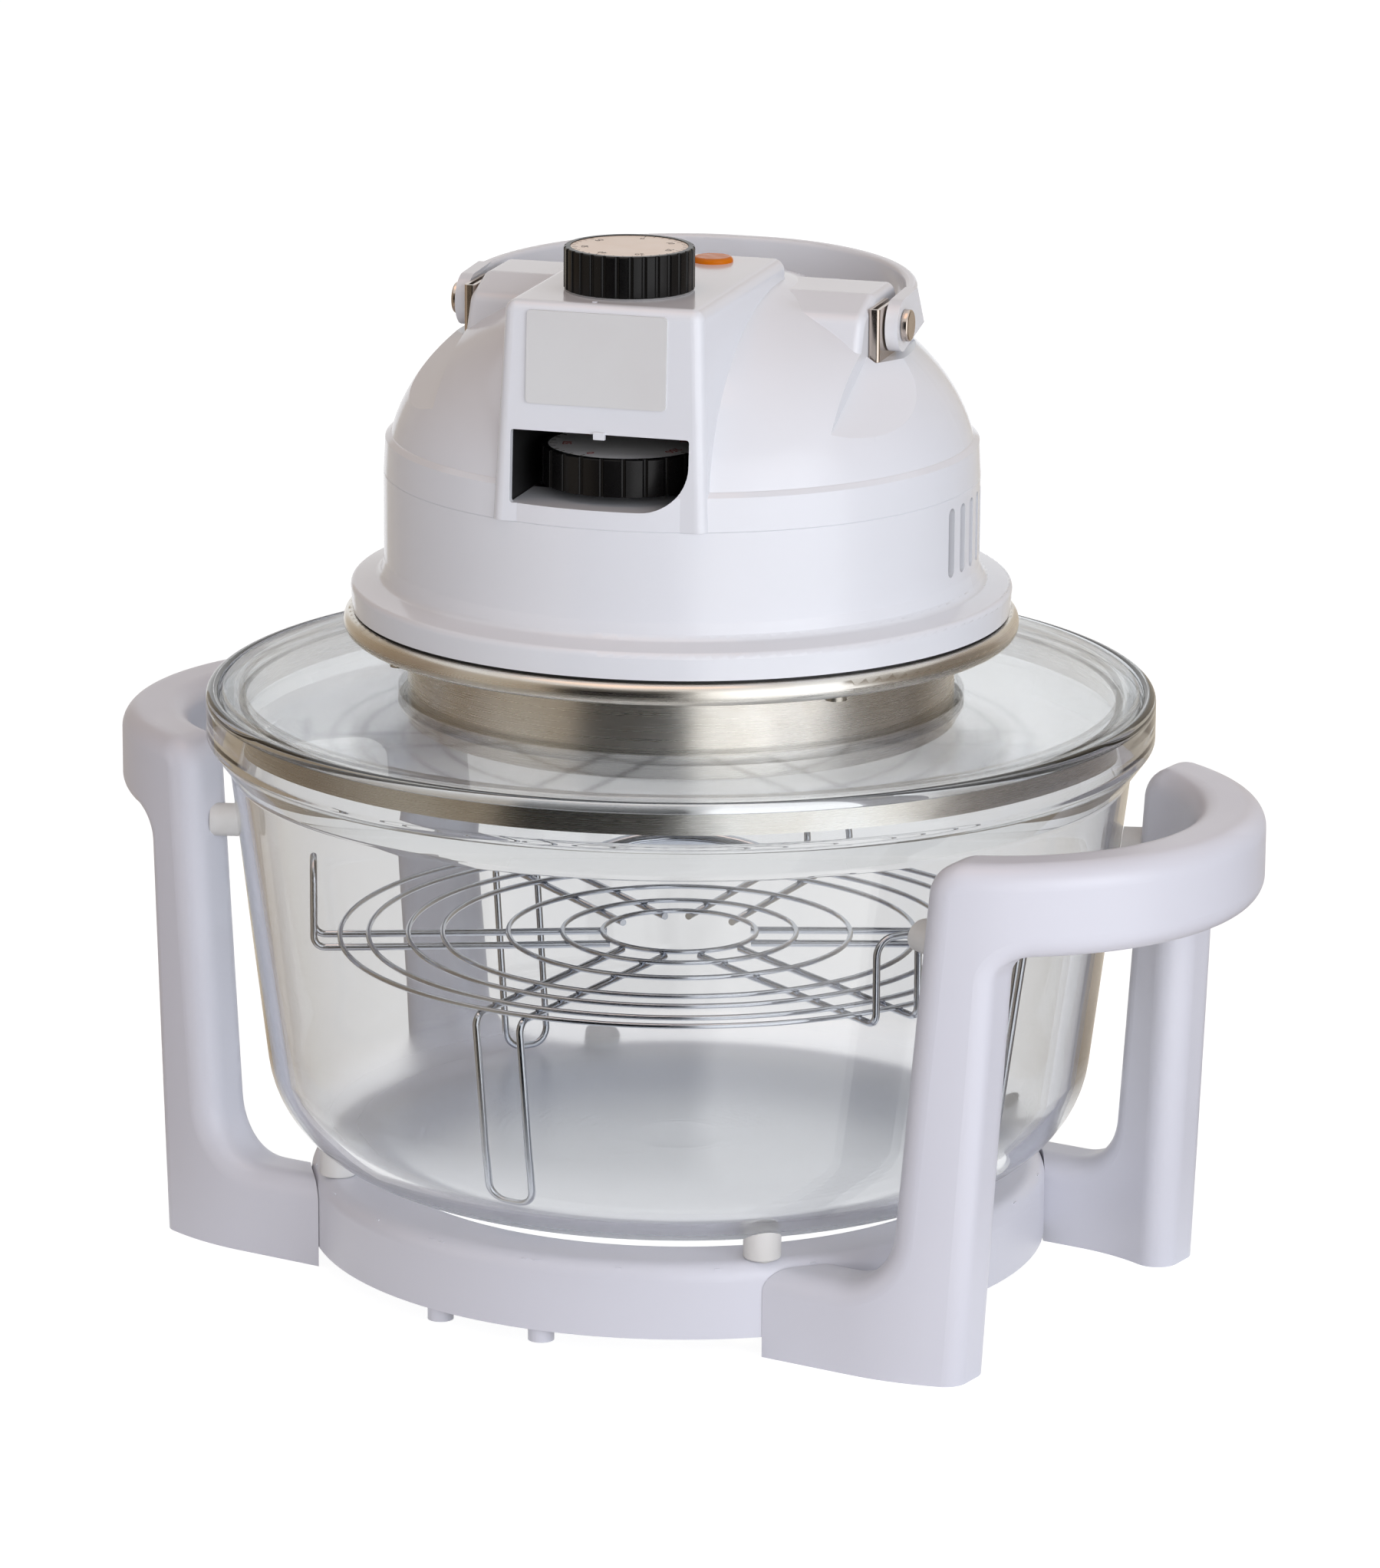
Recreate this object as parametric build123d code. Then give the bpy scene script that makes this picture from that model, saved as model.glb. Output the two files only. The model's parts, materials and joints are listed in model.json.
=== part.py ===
from build123d import *
from math import atan2, cos, degrees, radians, sin, sqrt, tan
import os

# Countertop halogen oven: a glass bowl in a white stand, with a lid that carries the heater head.
# Millimetres, +Z up, origin on the floor under the bowl's axis, +X through the right side handle.
# The head is drawn with its console towards -Y and then turned about Z, as a loose lid may sit.

# Overall sizes
RIM_R = 165.0         # outside of the bowl's rim
BOWL_H = 167.0        # bowl, from its floor to the top of its rim
PAN_R = 95.0          # steel pan that hangs through the lid
LID_TURN = 15.0       # degrees that the lid is turned on the bowl

# Fits shared by neighbouring pieces
RUN = 0.06            # radial clearance of a turning shaft
SEAT = 0.3            # rest gap between pieces that lift apart
SNUG = 0.2            # gap between fixed curved faces
PAST = 1.0            # how far a cutter reaches past what it cuts
TINY = 0.01           # tolerance when edges are picked by place

# Base ring heights
RING_BOTTOM = 7.0
RING_H = 26.0
RING_TOP = RING_BOTTOM + RING_H

# Glass bowl
GLASS = 5.5
PAD_RISE = 3.0
BOWL_BOTTOM = RING_TOP + PAD_RISE
BOWL_CURVE = 40.0
RIM_TOP = BOWL_BOTTOM + BOWL_H
RIM_H = 16.0
RIM_LOW = RIM_TOP - RIM_H
RIM_WALL = 4.5
RIM_FLARE = 8.0
NECK_DROP = 11.0
LEDGE_DROP = 4.3
LEDGE_Z = RIM_TOP - LEDGE_DROP
LEDGE_W = 6.0
LEDGE_ROUND = 0.5
THROAT_R = RIM_R - RIM_WALL - LEDGE_W
BOWL_NECK_R = RIM_R - RIM_FLARE
BOWL_NECK_Z = RIM_LOW - NECK_DROP
BOWL_TAPER = 17.0
BOWL_CORNER_R = BOWL_NECK_R - BOWL_TAPER
BOWL_SEAM = 2.9       # degrees that the mould's seam lies round from the X axis

# Base ring
RING_INSET = 10.5
RING_R = BOWL_CORNER_R - RING_INSET
RING_W = 26.5
RING_BORE_R = RING_R - RING_W
RING_WALL = 3.0
RING_EDGE = 6.0
RIB_THICK = 2.0
RIB_COUNT = 24
STUD_R = 4.5
STUD_INSET = 6.0
STUD_DROP = 5.0
STUD_HALF_ANGLE = 9.5

# Side handles
LEG_FACE_Y = 93.0
LEG_THICK = 24.0
FOOT_END_INSET = 81.0
FOOT_END_X = RIM_R - FOOT_END_INSET
FOOT_INSET = 3.0
FOOT_X = RIM_R - FOOT_INSET
FOOT_TOP_DROP = 2.0
FOOT_TOP = RING_TOP - FOOT_TOP_DROP
FOOT_CURVE = 20.0
UPRIGHT_IN_LOW_INSET = 29.5
UPRIGHT_IN_TOP_INSET = 17.6
UPRIGHT_OUT_REACH = 4.6
UPRIGHT_IN_LOW_X = RIM_R - UPRIGHT_IN_LOW_INSET
UPRIGHT_IN_TOP_X = RIM_R - UPRIGHT_IN_TOP_INSET
UPRIGHT_OUT_TOP_X = RIM_R + UPRIGHT_OUT_REACH
GRIP_DROP = 23.0
GRIP_H = 32.0
GRIP_TOP = RIM_TOP - GRIP_DROP
GRIP_BOTTOM = GRIP_TOP - GRIP_H
GRIP_CENTRE_INSET = 40.5
GRIP_CENTRE_X = RIM_R - GRIP_CENTRE_INSET
GRIP_ROUND = 8.0
UPRIGHT_TOP_ROUND = 12.0
TAB_THICK = 3.0
TAB_GAP = 1.5
TAB_INSET = 4.0
BASE_SCREW_R = 2.0
BASE_SCREW_HEAD_R = 4.0
BASE_SCREW_HEAD = 2.0
BASE_SCREW_INSET = 8.0
BASE_SCREW_DEPTH = 13.0

# Bowl pads and leg bumpers
PAD_R = 6.5
PAD_INSET = 7.5
PAD_CIRCLE_R = RING_R - PAD_INSET
PAD_NECK_R = 4.5
PAD_NECK = 1.6
PAD_EDGE = 0.8
PAD_LIP = 10.0
BUMPER_R = 5.8
BUMPER_Z = GRIP_BOTTOM + 2.0
BUMPER_Y = 75.0

# Wire rack
RACK_RISE = 79.0
RACK_Z = BOWL_BOTTOM + RACK_RISE
RACK_INSET = 21.0
RACK_R = BOWL_CORNER_R - RACK_INSET
RACK_RING_STEPS = (0.0, 10.0, 24.0, 36.0, 59.0, 78.0, 92.0)
RING_WIRE_R = 0.9
STRUT_WIRE_R = 1.25
STRUT_WELD = 0.3
STRUT_GAP = 17.0
STRUT_INNER_R = 25.0
STRUT_BEND = 4.0
STRUT_END_BEND = 6.4
STRUT_COUNT = 6
RACK_TURN = 31.4
LEG_SPREAD = 2.0
LEG_BOTTOM_INSET = 28.0
LEG_BOTTOM_R = BOWL_CORNER_R - LEG_BOTTOM_INSET
STOP_SPREAD = 9.0
STOP_RISES = (12.0, 30.0, 30.0)
STOP_TURN = 4.5

# Glass lid and its steel band
LID_GLASS = 5.0
LID_LIFT = 0.2
LID_SIDE_GAP = 0.9
LID_HOLE_GAP = 0.3
LID_EDGE = 2.0
LID_LOW = LEDGE_Z + LID_LIFT
LID_TOP = LID_LOW + LID_GLASS
LID_EDGE_R = RIM_R - RIM_WALL - LID_SIDE_GAP
BAND_SHEET = 0.8
BAND_LAP = 2.4
BAND_SKIRT = 8.5
SKIRT_GAP = 1.0
BAND_R = THROAT_R - SKIRT_GAP

# Heater pan
PAN_SHEET = 1.0
PAN_DROP = 5.9
PAN_H = 30.5
PAN_BOTTOM = LID_LOW - PAN_DROP
PAN_FLANGE_Z = PAN_BOTTOM + PAN_H
PAN_FLANGE_TOP = PAN_FLANGE_Z + PAN_SHEET
PAN_FLANGE_W = 22.0
PAN_LIP_R = PAN_R + PAN_FLANGE_W
PAN_LIP_H = 7.5
PAN_ROLL = 3.6
PAN_ROLL_ROUND = 3.4
PAN_LEDGE = 5.0
PAN_BEND = 3.0
PAN_EDGE = 0.8
CLAMP_REACH = 3.2
GASKET_H = 7.5
GASKET_W = 9.0
GASKET_INSET = 4.0
GASKET_R = PAN_LIP_R - GASKET_INSET
GASKET_BORE_R = GASKET_R - GASKET_W

# Heater, guard and reflector
REFLECTOR_GAP = 1.0
REFLECTOR_R = GASKET_BORE_R - REFLECTOR_GAP
REFLECTOR_RIM_W = 23.0
REFLECTOR_DOME_R = REFLECTOR_R - REFLECTOR_RIM_W
REFLECTOR_RISE = 5.5
REFLECTOR_SLOPE = 4.4
REFLECTOR_BORE_R = 6.0
TUBE_INSET = 29.0
TUBE_CIRCLE_R = PAN_R - TUBE_INSET
TUBE_R = 5.5
TUBE_RISE = 13.0
TUBE_Z = PAN_BOTTOM + TUBE_RISE
TUBE_ARC = 324.0
HOLDER_WALL = 2.0
GUARD_WIRE_R = 1.1
GUARD_REST = 0.1
GUARD_EDGE_GAP = 0.6
GUARD_RINGS = 5
GUARD_INNER_R = 14.0
GUARD_WELD = 1.76
GUARD_SPOKES = 6

# Lower housing
SHELL = 2.6
FLANGE_INSET = 2.4
FLANGE_R = PAN_LIP_R - FLANGE_INSET
FLANGE_Z = PAN_FLANGE_TOP + GASKET_H
FLANGE_H = 9.0
FLANGE_TOP = FLANGE_Z + FLANGE_H
FLANGE_DRAFT = 0.6
FLANGE_EDGE = 2.0
DRUM_INSET = 11.6
DRUM_R = FLANGE_R - DRUM_INSET
DRUM_H = 48.0
DRUM_FOOT_OUT = 1.5
DRUM_FOOT_LOW = 2.5
DRUM_FOOT_HIGH = 8.0
DRUM_FOOT_ROUND = 3.0
SPLIT_Z = FLANGE_Z + DRUM_H
SPLIT_EDGE = 0.6
HOUSING_FLOOR = FLANGE_Z + SHELL
FLOOR_BORE_R = 50.0
TONGUE = 1.6
TONGUE_GAP = 0.8
TONGUE_RISE = 4.0
TONGUE_ROOT = 8.0
VENT_W = 4.6
VENT_FOOT = 11.4
VENT_HEAD = 3.6
VENT_PITCH = 5.4
VENT_COUNT = 5
CORD_BUSH_R = 7.0
CORD_Z = (FLANGE_TOP + SPLIT_Z) / 2

# Upper housing
BAND_H = 13.0
BAND_TOP = SPLIT_Z + BAND_H
BAND_STEP = 1.6
BAND_DRAFT = 0.6
BAND_LEDGE = 0.4
DOME_INSET = 1.0
DOME_R = DRUM_R - DOME_INSET
DOME_RISE = 71.5
CONSOLE_H = 74.1
CONSOLE_TOP = SPLIT_Z + CONSOLE_H
CONSOLE_HALF_TOP = 34.3
CONSOLE_HALF_LOW = 37.5
CONSOLE_FACE_TOP = DRUM_R - 8.0
CONSOLE_FACE_LOW = DRUM_R - 4.0
CONSOLE_BACK = 5.0
CONSOLE_ROUND = 4.0
LUG_X = 70.0
LUG_FRONT_LOW_Y = -42.0
LUG_BROW_Y = -22.0
LUG_BROW_DROP = 5.0
LUG_FRONT_Y = -6.0
LUG_BACK_Y = 20.0
LUG_BACK_LOW_Y = 36.0
LUG_TOP = CONSOLE_TOP - 8.1
LUG_SHOULDER = 20.0
LUG_LOW = BAND_TOP + 3.0
LUG_ROUND = 6.0
LUG_EDGE = 3.0
FACET_NORMAL = (0.533, -0.315, 0.785)
FACET_OUT = 2.0
FACET_RISE = 1.5

# Controls on the console
TIMER_Y = -(CONSOLE_FACE_TOP - 31.0)
KNOB_R = 22.0
KNOB_H = 13.9
KNOB_EDGE = 0.8
KNOB_FLUTES = 30
FLUTE_R = 1.0
FLUTE_OUT = 0.25
BEZEL_H = 0.6
BEZEL_INSET = 0.3
KNOB_LOW = CONSOLE_TOP + BEZEL_H + SEAT
KNOB_DISC_R = 19.8
KNOB_DISC_H = 0.8
DISC_SINK = 0.3
KNOB_ROOF = 2.0
SPINDLE_R = 3.0
SPINDLE_HOLE_R = 5.0
SPINDLE_FOOT_GAP = 0.5
DIAL_R = 28.5
DIAL_SETBACK = 3.5
DIAL_Y = -(CONSOLE_FACE_LOW - DIAL_SETBACK - DIAL_R)
DIAL_H = 12.8
DIAL_LOW = SPLIT_Z + 9.5
DIAL_TOP = DIAL_LOW + DIAL_H
DIAL_FLUTES = 24
DIAL_RIM = 2.2
SLOT_SIDE = 2.5
SLOT_UNDER = 3.3
SLOT_OVER = 8.7
SLOT_HALF_W = DIAL_R + SLOT_SIDE
SLOT_LOW = DIAL_LOW - SLOT_UNDER
SLOT_HIGH = DIAL_TOP + SLOT_OVER
SLOT_CORNER = 1.0
SLOT_SWEEP = 16.0
SLOT_SHELF = 2.0
PLATE_W = 48.6
PLATE_H = 31.2
PLATE_DROP = 18.3
PLATE_Z = CONSOLE_TOP - PLATE_DROP
PLATE_THICK = 0.8
PLATE_CORNER = 1.5
PLATE_X = -1.5
LENS_X = 12.3
LENS_Y = -6.5
LENS_R = 7.0
LENS_LIP = 1.0
LENS_RISE = 1.8
LENS_EDGE = 1.4
LENS_TAIL = 1.0
LAMP_R = 4.6
LAMP_H = 12.0
TIMER_W = 44.0
TIMER_H = 30.0
TIMER_CORNER = 4.0
THERMOSTAT_W = 28.0
THERMOSTAT_H = 22.0
THERMOSTAT_CORNER = 3.0
THERMOSTAT_TOP = SLOT_LOW - SLOT_SHELF - SNUG
THERMOSTAT_LOW = THERMOSTAT_TOP - THERMOSTAT_H
THERMOSTAT_POST = 14.0

# Carry handle
HINGE_SHEET = 1.2
HINGE_PLATE_W = 4.0
HINGE_PLATE_H = 18.1
HINGE_PLATE_DROP = 10.7
HINGE_PLATE_FRONT = 14.0
HINGE_PLATE_BACK = 8.0
HANDLE_SIDE_GAP = 0.5
HANDLE_THICK = 4.4
HANDLE_IN_X = LUG_X + HINGE_PLATE_W + HANDLE_SIDE_GAP
HANDLE_HALF = HANDLE_IN_X + HANDLE_THICK
HANDLE_BACK_Y = 80.5
HANDLE_CORNER = 74.0
HANDLE_H = 14.0
HANDLE_EDGE = 1.6
HANDLE_TOP = CONSOLE_TOP - 10.0
HANDLE_LOW = HANDLE_TOP - HANDLE_H
HANDLE_GAP = 1.5
HANDLE_TILT = 2.4
EYE_R = 9.0
PIVOT_Y = -2.0
PIVOT_Z = HANDLE_TOP - EYE_R
PIN_R = 3.0
PIN_HEAD_R = 5.5
PIN_HEAD = 2.4
PIN_HEAD_EDGE = 0.8
PIN_BOSS_R = 6.0
PIN_INNER_X = 52.0

# Motor and fans
SHAFT_R = 3.0
SHAFT_END = 2.0       # shaft beyond each fan
MOTOR_PLATE_R = 55.0
MOTOR_PLATE = 1.5
POST_R = 3.5
BUSH_R = 7.0
BUSH_FLANGE = 2.0
BUSH_DROP = 1.0
CORE_HALF_X = 25.0
CORE_FRONT_Y = -21.0
CORE_BACK_Y = 45.0
CORE_ARM = 12.0
CORE_RISE = 11.4
CORE_LOW = HOUSING_FLOOR + CORE_RISE
CORE_H = 18.0
CORE_TOP = CORE_LOW + CORE_H
COIL_OVER = 7.0
COIL_SIDE_GAP = 1.0
ROTOR_R = 14.0
ROTOR_GAP = 0.5
ROTOR_OVER = 1.0
POLE_WALL = 3.0
STRAP_RISE = 4.0
STRAP_SHEET = 2.5
STRAP_HALF_Y = 6.0
STRAP_BOSS = 4.5
STRAP_TOP = CORE_TOP + STRAP_RISE + STRAP_SHEET + STRAP_BOSS
FAN_R = 46.0
FAN_HUB_R = 9.0
FAN_DROP = 4.5
FAN_H = 13.0
FAN_TOP = PAN_FLANGE_Z - FAN_DROP
FAN_LOW = FAN_TOP - FAN_H
FAN_SHEET = 1.0
FAN_BLADES = 8
FAN_BLADE = 27.0
FAN_SWEEP = 25.0
COOLER_R = 37.0
COOLER_H = 8.0
COOLER_GAP = 1.0
COOLER_LOW = STRAP_TOP + COOLER_GAP
COOLER_TOP = COOLER_LOW + COOLER_H
COOLER_CHORD = 11.2
COOLER_BLADES = 7
COOLER_PITCH = 35.0

# Wiring and fasteners
SWITCH_X = 11.0
SWITCH_FRONT = 7.0
SWITCH_BACK = 15.0
SWITCH_DROP = 9.0
SWITCH_H = 14.0
TERMINAL_X = 40.0
TERMINAL_Y = 14.0
TERMINAL_Z = 16.0
TERMINAL_PITCH = 12.5
TERMINAL_HOLE_R = 3.0
TERMINAL_INSET = 23.0
CORD_BORE_R = 3.6
CORD_FLANGE_R = 10.0
CORD_FLANGE = 2.8
CORD_INSIDE = 8.0
PAN_SCREW_R = 1.9
PAN_SCREW_HEAD_R = 3.8
PAN_SCREW_HEAD = 2.0
PAN_SCREW_CIRCLE_R = (GASKET_R + GASKET_BORE_R) / 2
PAN_SCREWS = 4


def turned(points, radius=0.0):
    """A body of revolution about Z from an outline of (radius, height) points."""
    line = FilletPolyline(*points, radius=radius, close=True) if radius else Polyline(*points, close=True)
    return revolve(Plane.XZ * make_face(line), Axis.Z)


def tube(outer, inner, low, high):
    return Pos(0, 0, low) * extrude(Circle(outer) - Circle(inner), high - low)


def rod(radius, low, high, x=0.0, y=0.0):
    return Pos(x, y, low) * extrude(Circle(radius), high - low)


def rod_along_x(radius, start, end, y, z):
    return extrude(Plane((start, y, z), z_dir=(1, 0, 0)) * Circle(radius), end - start)


def block(x0, x1, y0, y1, z0, z1):
    return Pos((x0 + x1) / 2, (y0 + y1) / 2, (z0 + z1) / 2) * Box(x1 - x0, y1 - y0, z1 - z0)


def both_sides(solid):
    """A solid and its mirror image in the plane X = 0."""
    return solid + mirror(solid, Plane.YZ)


def at_angle(solid, angle):
    return Rot(0, 0, angle) * solid


def fused(solids):
    """One body from several that cross each other."""
    return solids[0].fuse(*solids[1:])


# Stand

def base_ring():
    outer = turned(
        [(RING_BORE_R, RING_BOTTOM), (RING_R, RING_BOTTOM), (RING_R, RING_TOP), (RING_BORE_R, RING_TOP)],
        [0, 0, RING_EDGE, RING_EDGE],
    )
    channel = turned(
        [
            (RING_BORE_R + RING_WALL, RING_BOTTOM - PAST),
            (RING_R - RING_WALL, RING_BOTTOM - PAST),
            (RING_R - RING_WALL, RING_TOP - RING_WALL),
            (RING_BORE_R + RING_WALL, RING_TOP - RING_WALL),
        ],
        [0, 0, RING_EDGE - RING_WALL, RING_EDGE - RING_WALL],
    )
    ring = outer - channel
    middle = (RING_R + RING_BORE_R) / 2
    rib_length = RING_R - RING_BORE_R - RING_WALL
    rib_height = RING_TOP - RING_WALL / 2 - RING_BOTTOM
    rib = Pos(middle, 0, RING_BOTTOM + rib_height / 2) * Box(rib_length, RIB_THICK, rib_height)
    step = 360 / RIB_COUNT
    adds = [at_angle(rib, step * (n + 0.5)) for n in range(RIB_COUNT)]
    for front in (-90, 90):
        for side in (-1, 1):
            stud = rod(STUD_R, RING_BOTTOM - STUD_DROP, RING_TOP - RING_WALL / 2, RING_R - STUD_INSET)
            adds.append(at_angle(stud, front + side * STUD_HALF_ANGLE) & rod(RING_R, 0, RING_TOP))
    for x, y in screw_places():
        adds.append(rod(BASE_SCREW_HEAD_R, RING_BOTTOM, RING_TOP - RING_WALL / 2, x, y))
    ring = fused([ring, *adds])
    for x, y in screw_places():
        ring -= rod(BASE_SCREW_R, RING_BOTTOM - PAST, RING_BOTTOM + BASE_SCREW_DEPTH, x, y)
    for x, y in pad_places():
        ring -= rod(PAD_NECK_R, RING_TOP - PAD_NECK, RING_TOP + PAST, x, y)
    return ring


def screw_places():
    """Where the feet are screwed to the ring from below."""
    y = LEG_FACE_Y - LEG_THICK / 2
    x = sqrt((RING_BORE_R + BASE_SCREW_INSET) ** 2 - y**2)
    return [(sx * x, sy * y) for sx in (1, -1) for sy in (1, -1)]


def pad_places():
    side = PAD_CIRCLE_R * sin(radians(45))
    return [(sx * side, sy * side) for sx in (1, -1) for sy in (1, -1)]


def right_handle():
    far = GRIP_CENTRE_X + LEG_FACE_Y + PAST
    outline = FilletPolyline(
        (FOOT_END_X, 0),
        (FOOT_X, 0),
        (UPRIGHT_OUT_TOP_X, GRIP_BOTTOM),
        (far, GRIP_BOTTOM),
        (far, GRIP_TOP),
        (UPRIGHT_IN_TOP_X, GRIP_TOP),
        (UPRIGHT_IN_LOW_X, FOOT_TOP),
        (FOOT_END_X, FOOT_TOP),
        radius=[0, 0, GRIP_ROUND, 0, 0, UPRIGHT_TOP_ROUND, FOOT_CURVE, 0],
        close=True,
    )
    side_view = extrude(Plane.XZ * make_face(outline), LEG_FACE_Y + PAST, both=True)
    handle = side_view & (grip_plan(LEG_FACE_Y) - grip_plan(LEG_FACE_Y - LEG_THICK))
    handle = fillet([e for e in handle.edges() if is_long_edge(e)], GRIP_ROUND)
    handle -= rod(RING_R + SNUG, -PAST, GRIP_TOP)
    tab_y = LEG_FACE_Y - LEG_THICK + TAB_INSET
    tab_face = LEG_FACE_Y - 2 * TAB_INSET
    for sy in (1, -1):
        sides = sorted((sy * tab_y, sy * tab_face))
        tab = block(0, GRIP_CENTRE_X, *sides, RING_BOTTOM - TAB_THICK, RING_BOTTOM)
        handle += tab - rod(RING_BORE_R + TAB_GAP, 0, RING_TOP)
    for x, y in screw_places():
        handle -= rod(BASE_SCREW_R + SNUG, -PAST, RING_BOTTOM + PAST, x, y)
    return handle


def grip_plan(radius):
    """The bowed plan of a handle, as a tall prism."""
    arms = Pos(GRIP_CENTRE_X / 2, 0) * Rectangle(GRIP_CENTRE_X, 2 * radius)
    return extrude(Pos(GRIP_CENTRE_X, 0) * Circle(radius) + arms, GRIP_TOP + PAST)


def is_long_edge(edge):
    """Edges that run along a leg or grip, and not across it, at its floor or at its ring end."""
    box = edge.bounding_box()
    if box.max.Z < TINY or box.max.X < FOOT_END_X + TINY:
        return False
    across = edge.geom_type == GeomType.LINE and box.size.Y > LEG_THICK / 2
    seam = edge.geom_type == GeomType.LINE and abs(edge.center().X - GRIP_CENTRE_X) < TINY
    return not (across or seam)


def bowl_pads():
    pads = []
    cutter = bowl_outside(SEAT)
    for x, y in pad_places():
        pad = rod(PAD_R, RING_TOP, BOWL_BOTTOM + PAD_LIP, x, y)
        pad = fillet(pad.edges().group_by(Axis.Z)[0], PAD_EDGE)
        neck = rod(PAD_NECK_R - SNUG, RING_TOP - PAD_NECK, RING_TOP + PAST, x, y)
        pads.append(pad + neck - cutter)
    return pads


def leg_bumpers(handle):
    cutter = bowl_outside(SEAT)
    angle = degrees(atan2(BUMPER_Y, UPRIGHT_IN_TOP_X))
    bumper = rod_along_x(BUMPER_R, BOWL_CORNER_R, RIM_R, 0, BUMPER_Z)
    bumper = at_angle(bumper, angle) - cutter - handle
    bumper = min(bumper.solids(), key=lambda s: s.center().X)
    pair = [bumper, mirror(bumper, Plane.XZ)]
    return pair + [mirror(b, Plane.YZ) for b in pair]


def base_screws():
    screws = []
    head_top = RING_BOTTOM - TAB_THICK
    head_low = head_top - BASE_SCREW_HEAD
    for x, y in screw_places():
        shank = rod(BASE_SCREW_R - SNUG / 2, head_low, RING_BOTTOM + BASE_SCREW_DEPTH - PAST, x, y)
        head = rod(BASE_SCREW_HEAD_R, head_low, head_top, x, y)
        screws.append(shank + head)
    return screws


# Glass bowl

def wall_lean():
    """How far the bowl's wall leans out for each millimetre of height."""
    return (BOWL_NECK_R - BOWL_CORNER_R) / (BOWL_NECK_Z - BOWL_BOTTOM)


def bowl_inner_r(z):
    outer = BOWL_CORNER_R + (z - BOWL_BOTTOM) * wall_lean()
    return outer - GLASS * sqrt(1 + wall_lean() ** 2)


def bowl_outside(grow):
    """The space that the bowl takes up, filled, grown by a gap."""
    return turned(
        [
            (0, BOWL_BOTTOM - grow),
            (BOWL_CORNER_R + grow, BOWL_BOTTOM - grow),
            (BOWL_NECK_R + grow, BOWL_NECK_Z),
            (RIM_R + grow, RIM_LOW),
            (RIM_R + grow, RIM_TOP),
            (0, RIM_TOP),
        ],
        [0, BOWL_CURVE + grow, GLASS, GLASS / 2, 0, 0],
    )


def glass_bowl():
    floor = BOWL_BOTTOM + GLASS
    bowl = turned(
        [
            (0, BOWL_BOTTOM),
            (BOWL_CORNER_R, BOWL_BOTTOM),
            (BOWL_NECK_R, BOWL_NECK_Z),
            (RIM_R, RIM_LOW),
            (RIM_R, RIM_TOP),
            (RIM_R - RIM_WALL, RIM_TOP),
            (RIM_R - RIM_WALL, LEDGE_Z),
            (THROAT_R, LEDGE_Z),
            (THROAT_R, RIM_LOW),
            (bowl_inner_r(BOWL_NECK_Z), BOWL_NECK_Z),
            (bowl_inner_r(floor), floor),
            (0, floor),
        ],
        [
            0,
            BOWL_CURVE,
            GLASS,
            GLASS / 2,
            GLASS / 2,
            GLASS / 3,
            LEDGE_ROUND,
            2 * LEDGE_ROUND,
            GLASS,
            GLASS,
            BOWL_CURVE - GLASS,
            0,
        ],
    )
    return at_angle(bowl, BOWL_SEAM)


# Wire rack

def rack_rings():
    """Concentric wires, as many as lie outside the struts' inner ends."""
    radii = [RACK_R - step for step in RACK_RING_STEPS if RACK_R - step > STRUT_INNER_R]
    return [Pos(0, 0, RACK_Z) * Torus(radius, RING_WIRE_R) for radius in radii]


def rack_struts():
    z = RACK_Z - RING_WIRE_R - STRUT_WIRE_R + STRUT_WELD
    struts = []
    for n in range(STRUT_COUNT):
        turn = RACK_TURN + n * 360 / STRUT_COUNT
        if n % 2:
            end_r = tip_r = RACK_R + STOP_SPREAD
            tip_z = z + STOP_RISES[n // 2]
            turn += STOP_TURN
        else:
            end_r = RACK_R + LEG_SPREAD
            tip_r = LEG_BOTTOM_R
            tip_z = leg_tip_z()
        half = STRUT_GAP / 2
        path = FilletPolyline(
            (STRUT_INNER_R, -half, z),
            (end_r, -half, z),
            (tip_r, -half, tip_z),
            (tip_r, half, tip_z),
            (end_r, half, z),
            (STRUT_INNER_R, half, z),
            radius=[STRUT_BEND, STRUT_END_BEND, STRUT_END_BEND, STRUT_BEND],
        )
        wire = sweep(Plane((STRUT_INNER_R, -half, z), z_dir=(1, 0, 0)) * Circle(STRUT_WIRE_R), path)
        struts.append(at_angle(wire, turn))
    return struts


def leg_tip_z():
    """Height of a leg's lowest wire, on the curve between the bowl's floor and wall."""
    lean = degrees(atan2(1, wall_lean()))
    flat_r = BOWL_CORNER_R - BOWL_CURVE * tan(radians(lean / 2))
    reach = BOWL_CURVE - GLASS - STRUT_WIRE_R - SEAT
    return BOWL_BOTTOM + BOWL_CURVE - sqrt(reach**2 - (LEG_BOTTOM_R - flat_r) ** 2)


# Lid

def glass_lid():
    hole_r = PAN_R + LID_HOLE_GAP
    return turned(
        [(hole_r, LID_LOW), (LID_EDGE_R, LID_LOW), (LID_EDGE_R, LID_TOP), (hole_r, LID_TOP)],
        [0, LID_EDGE, LID_EDGE, 0],
    )


def lid_rim_band():
    """A steel hoop under the glass that centres the lid in the bowl's throat."""
    return turned(
        [
            (BAND_R - BAND_LAP, LID_LOW),
            (BAND_R - BAND_LAP, LID_LOW - BAND_SHEET),
            (BAND_R - BAND_SHEET, LID_LOW - BAND_SHEET),
            (BAND_R - BAND_SHEET, LID_LOW - BAND_SKIRT),
            (BAND_R, LID_LOW - BAND_SKIRT),
            (BAND_R, LID_LOW),
        ]
    )


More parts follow.
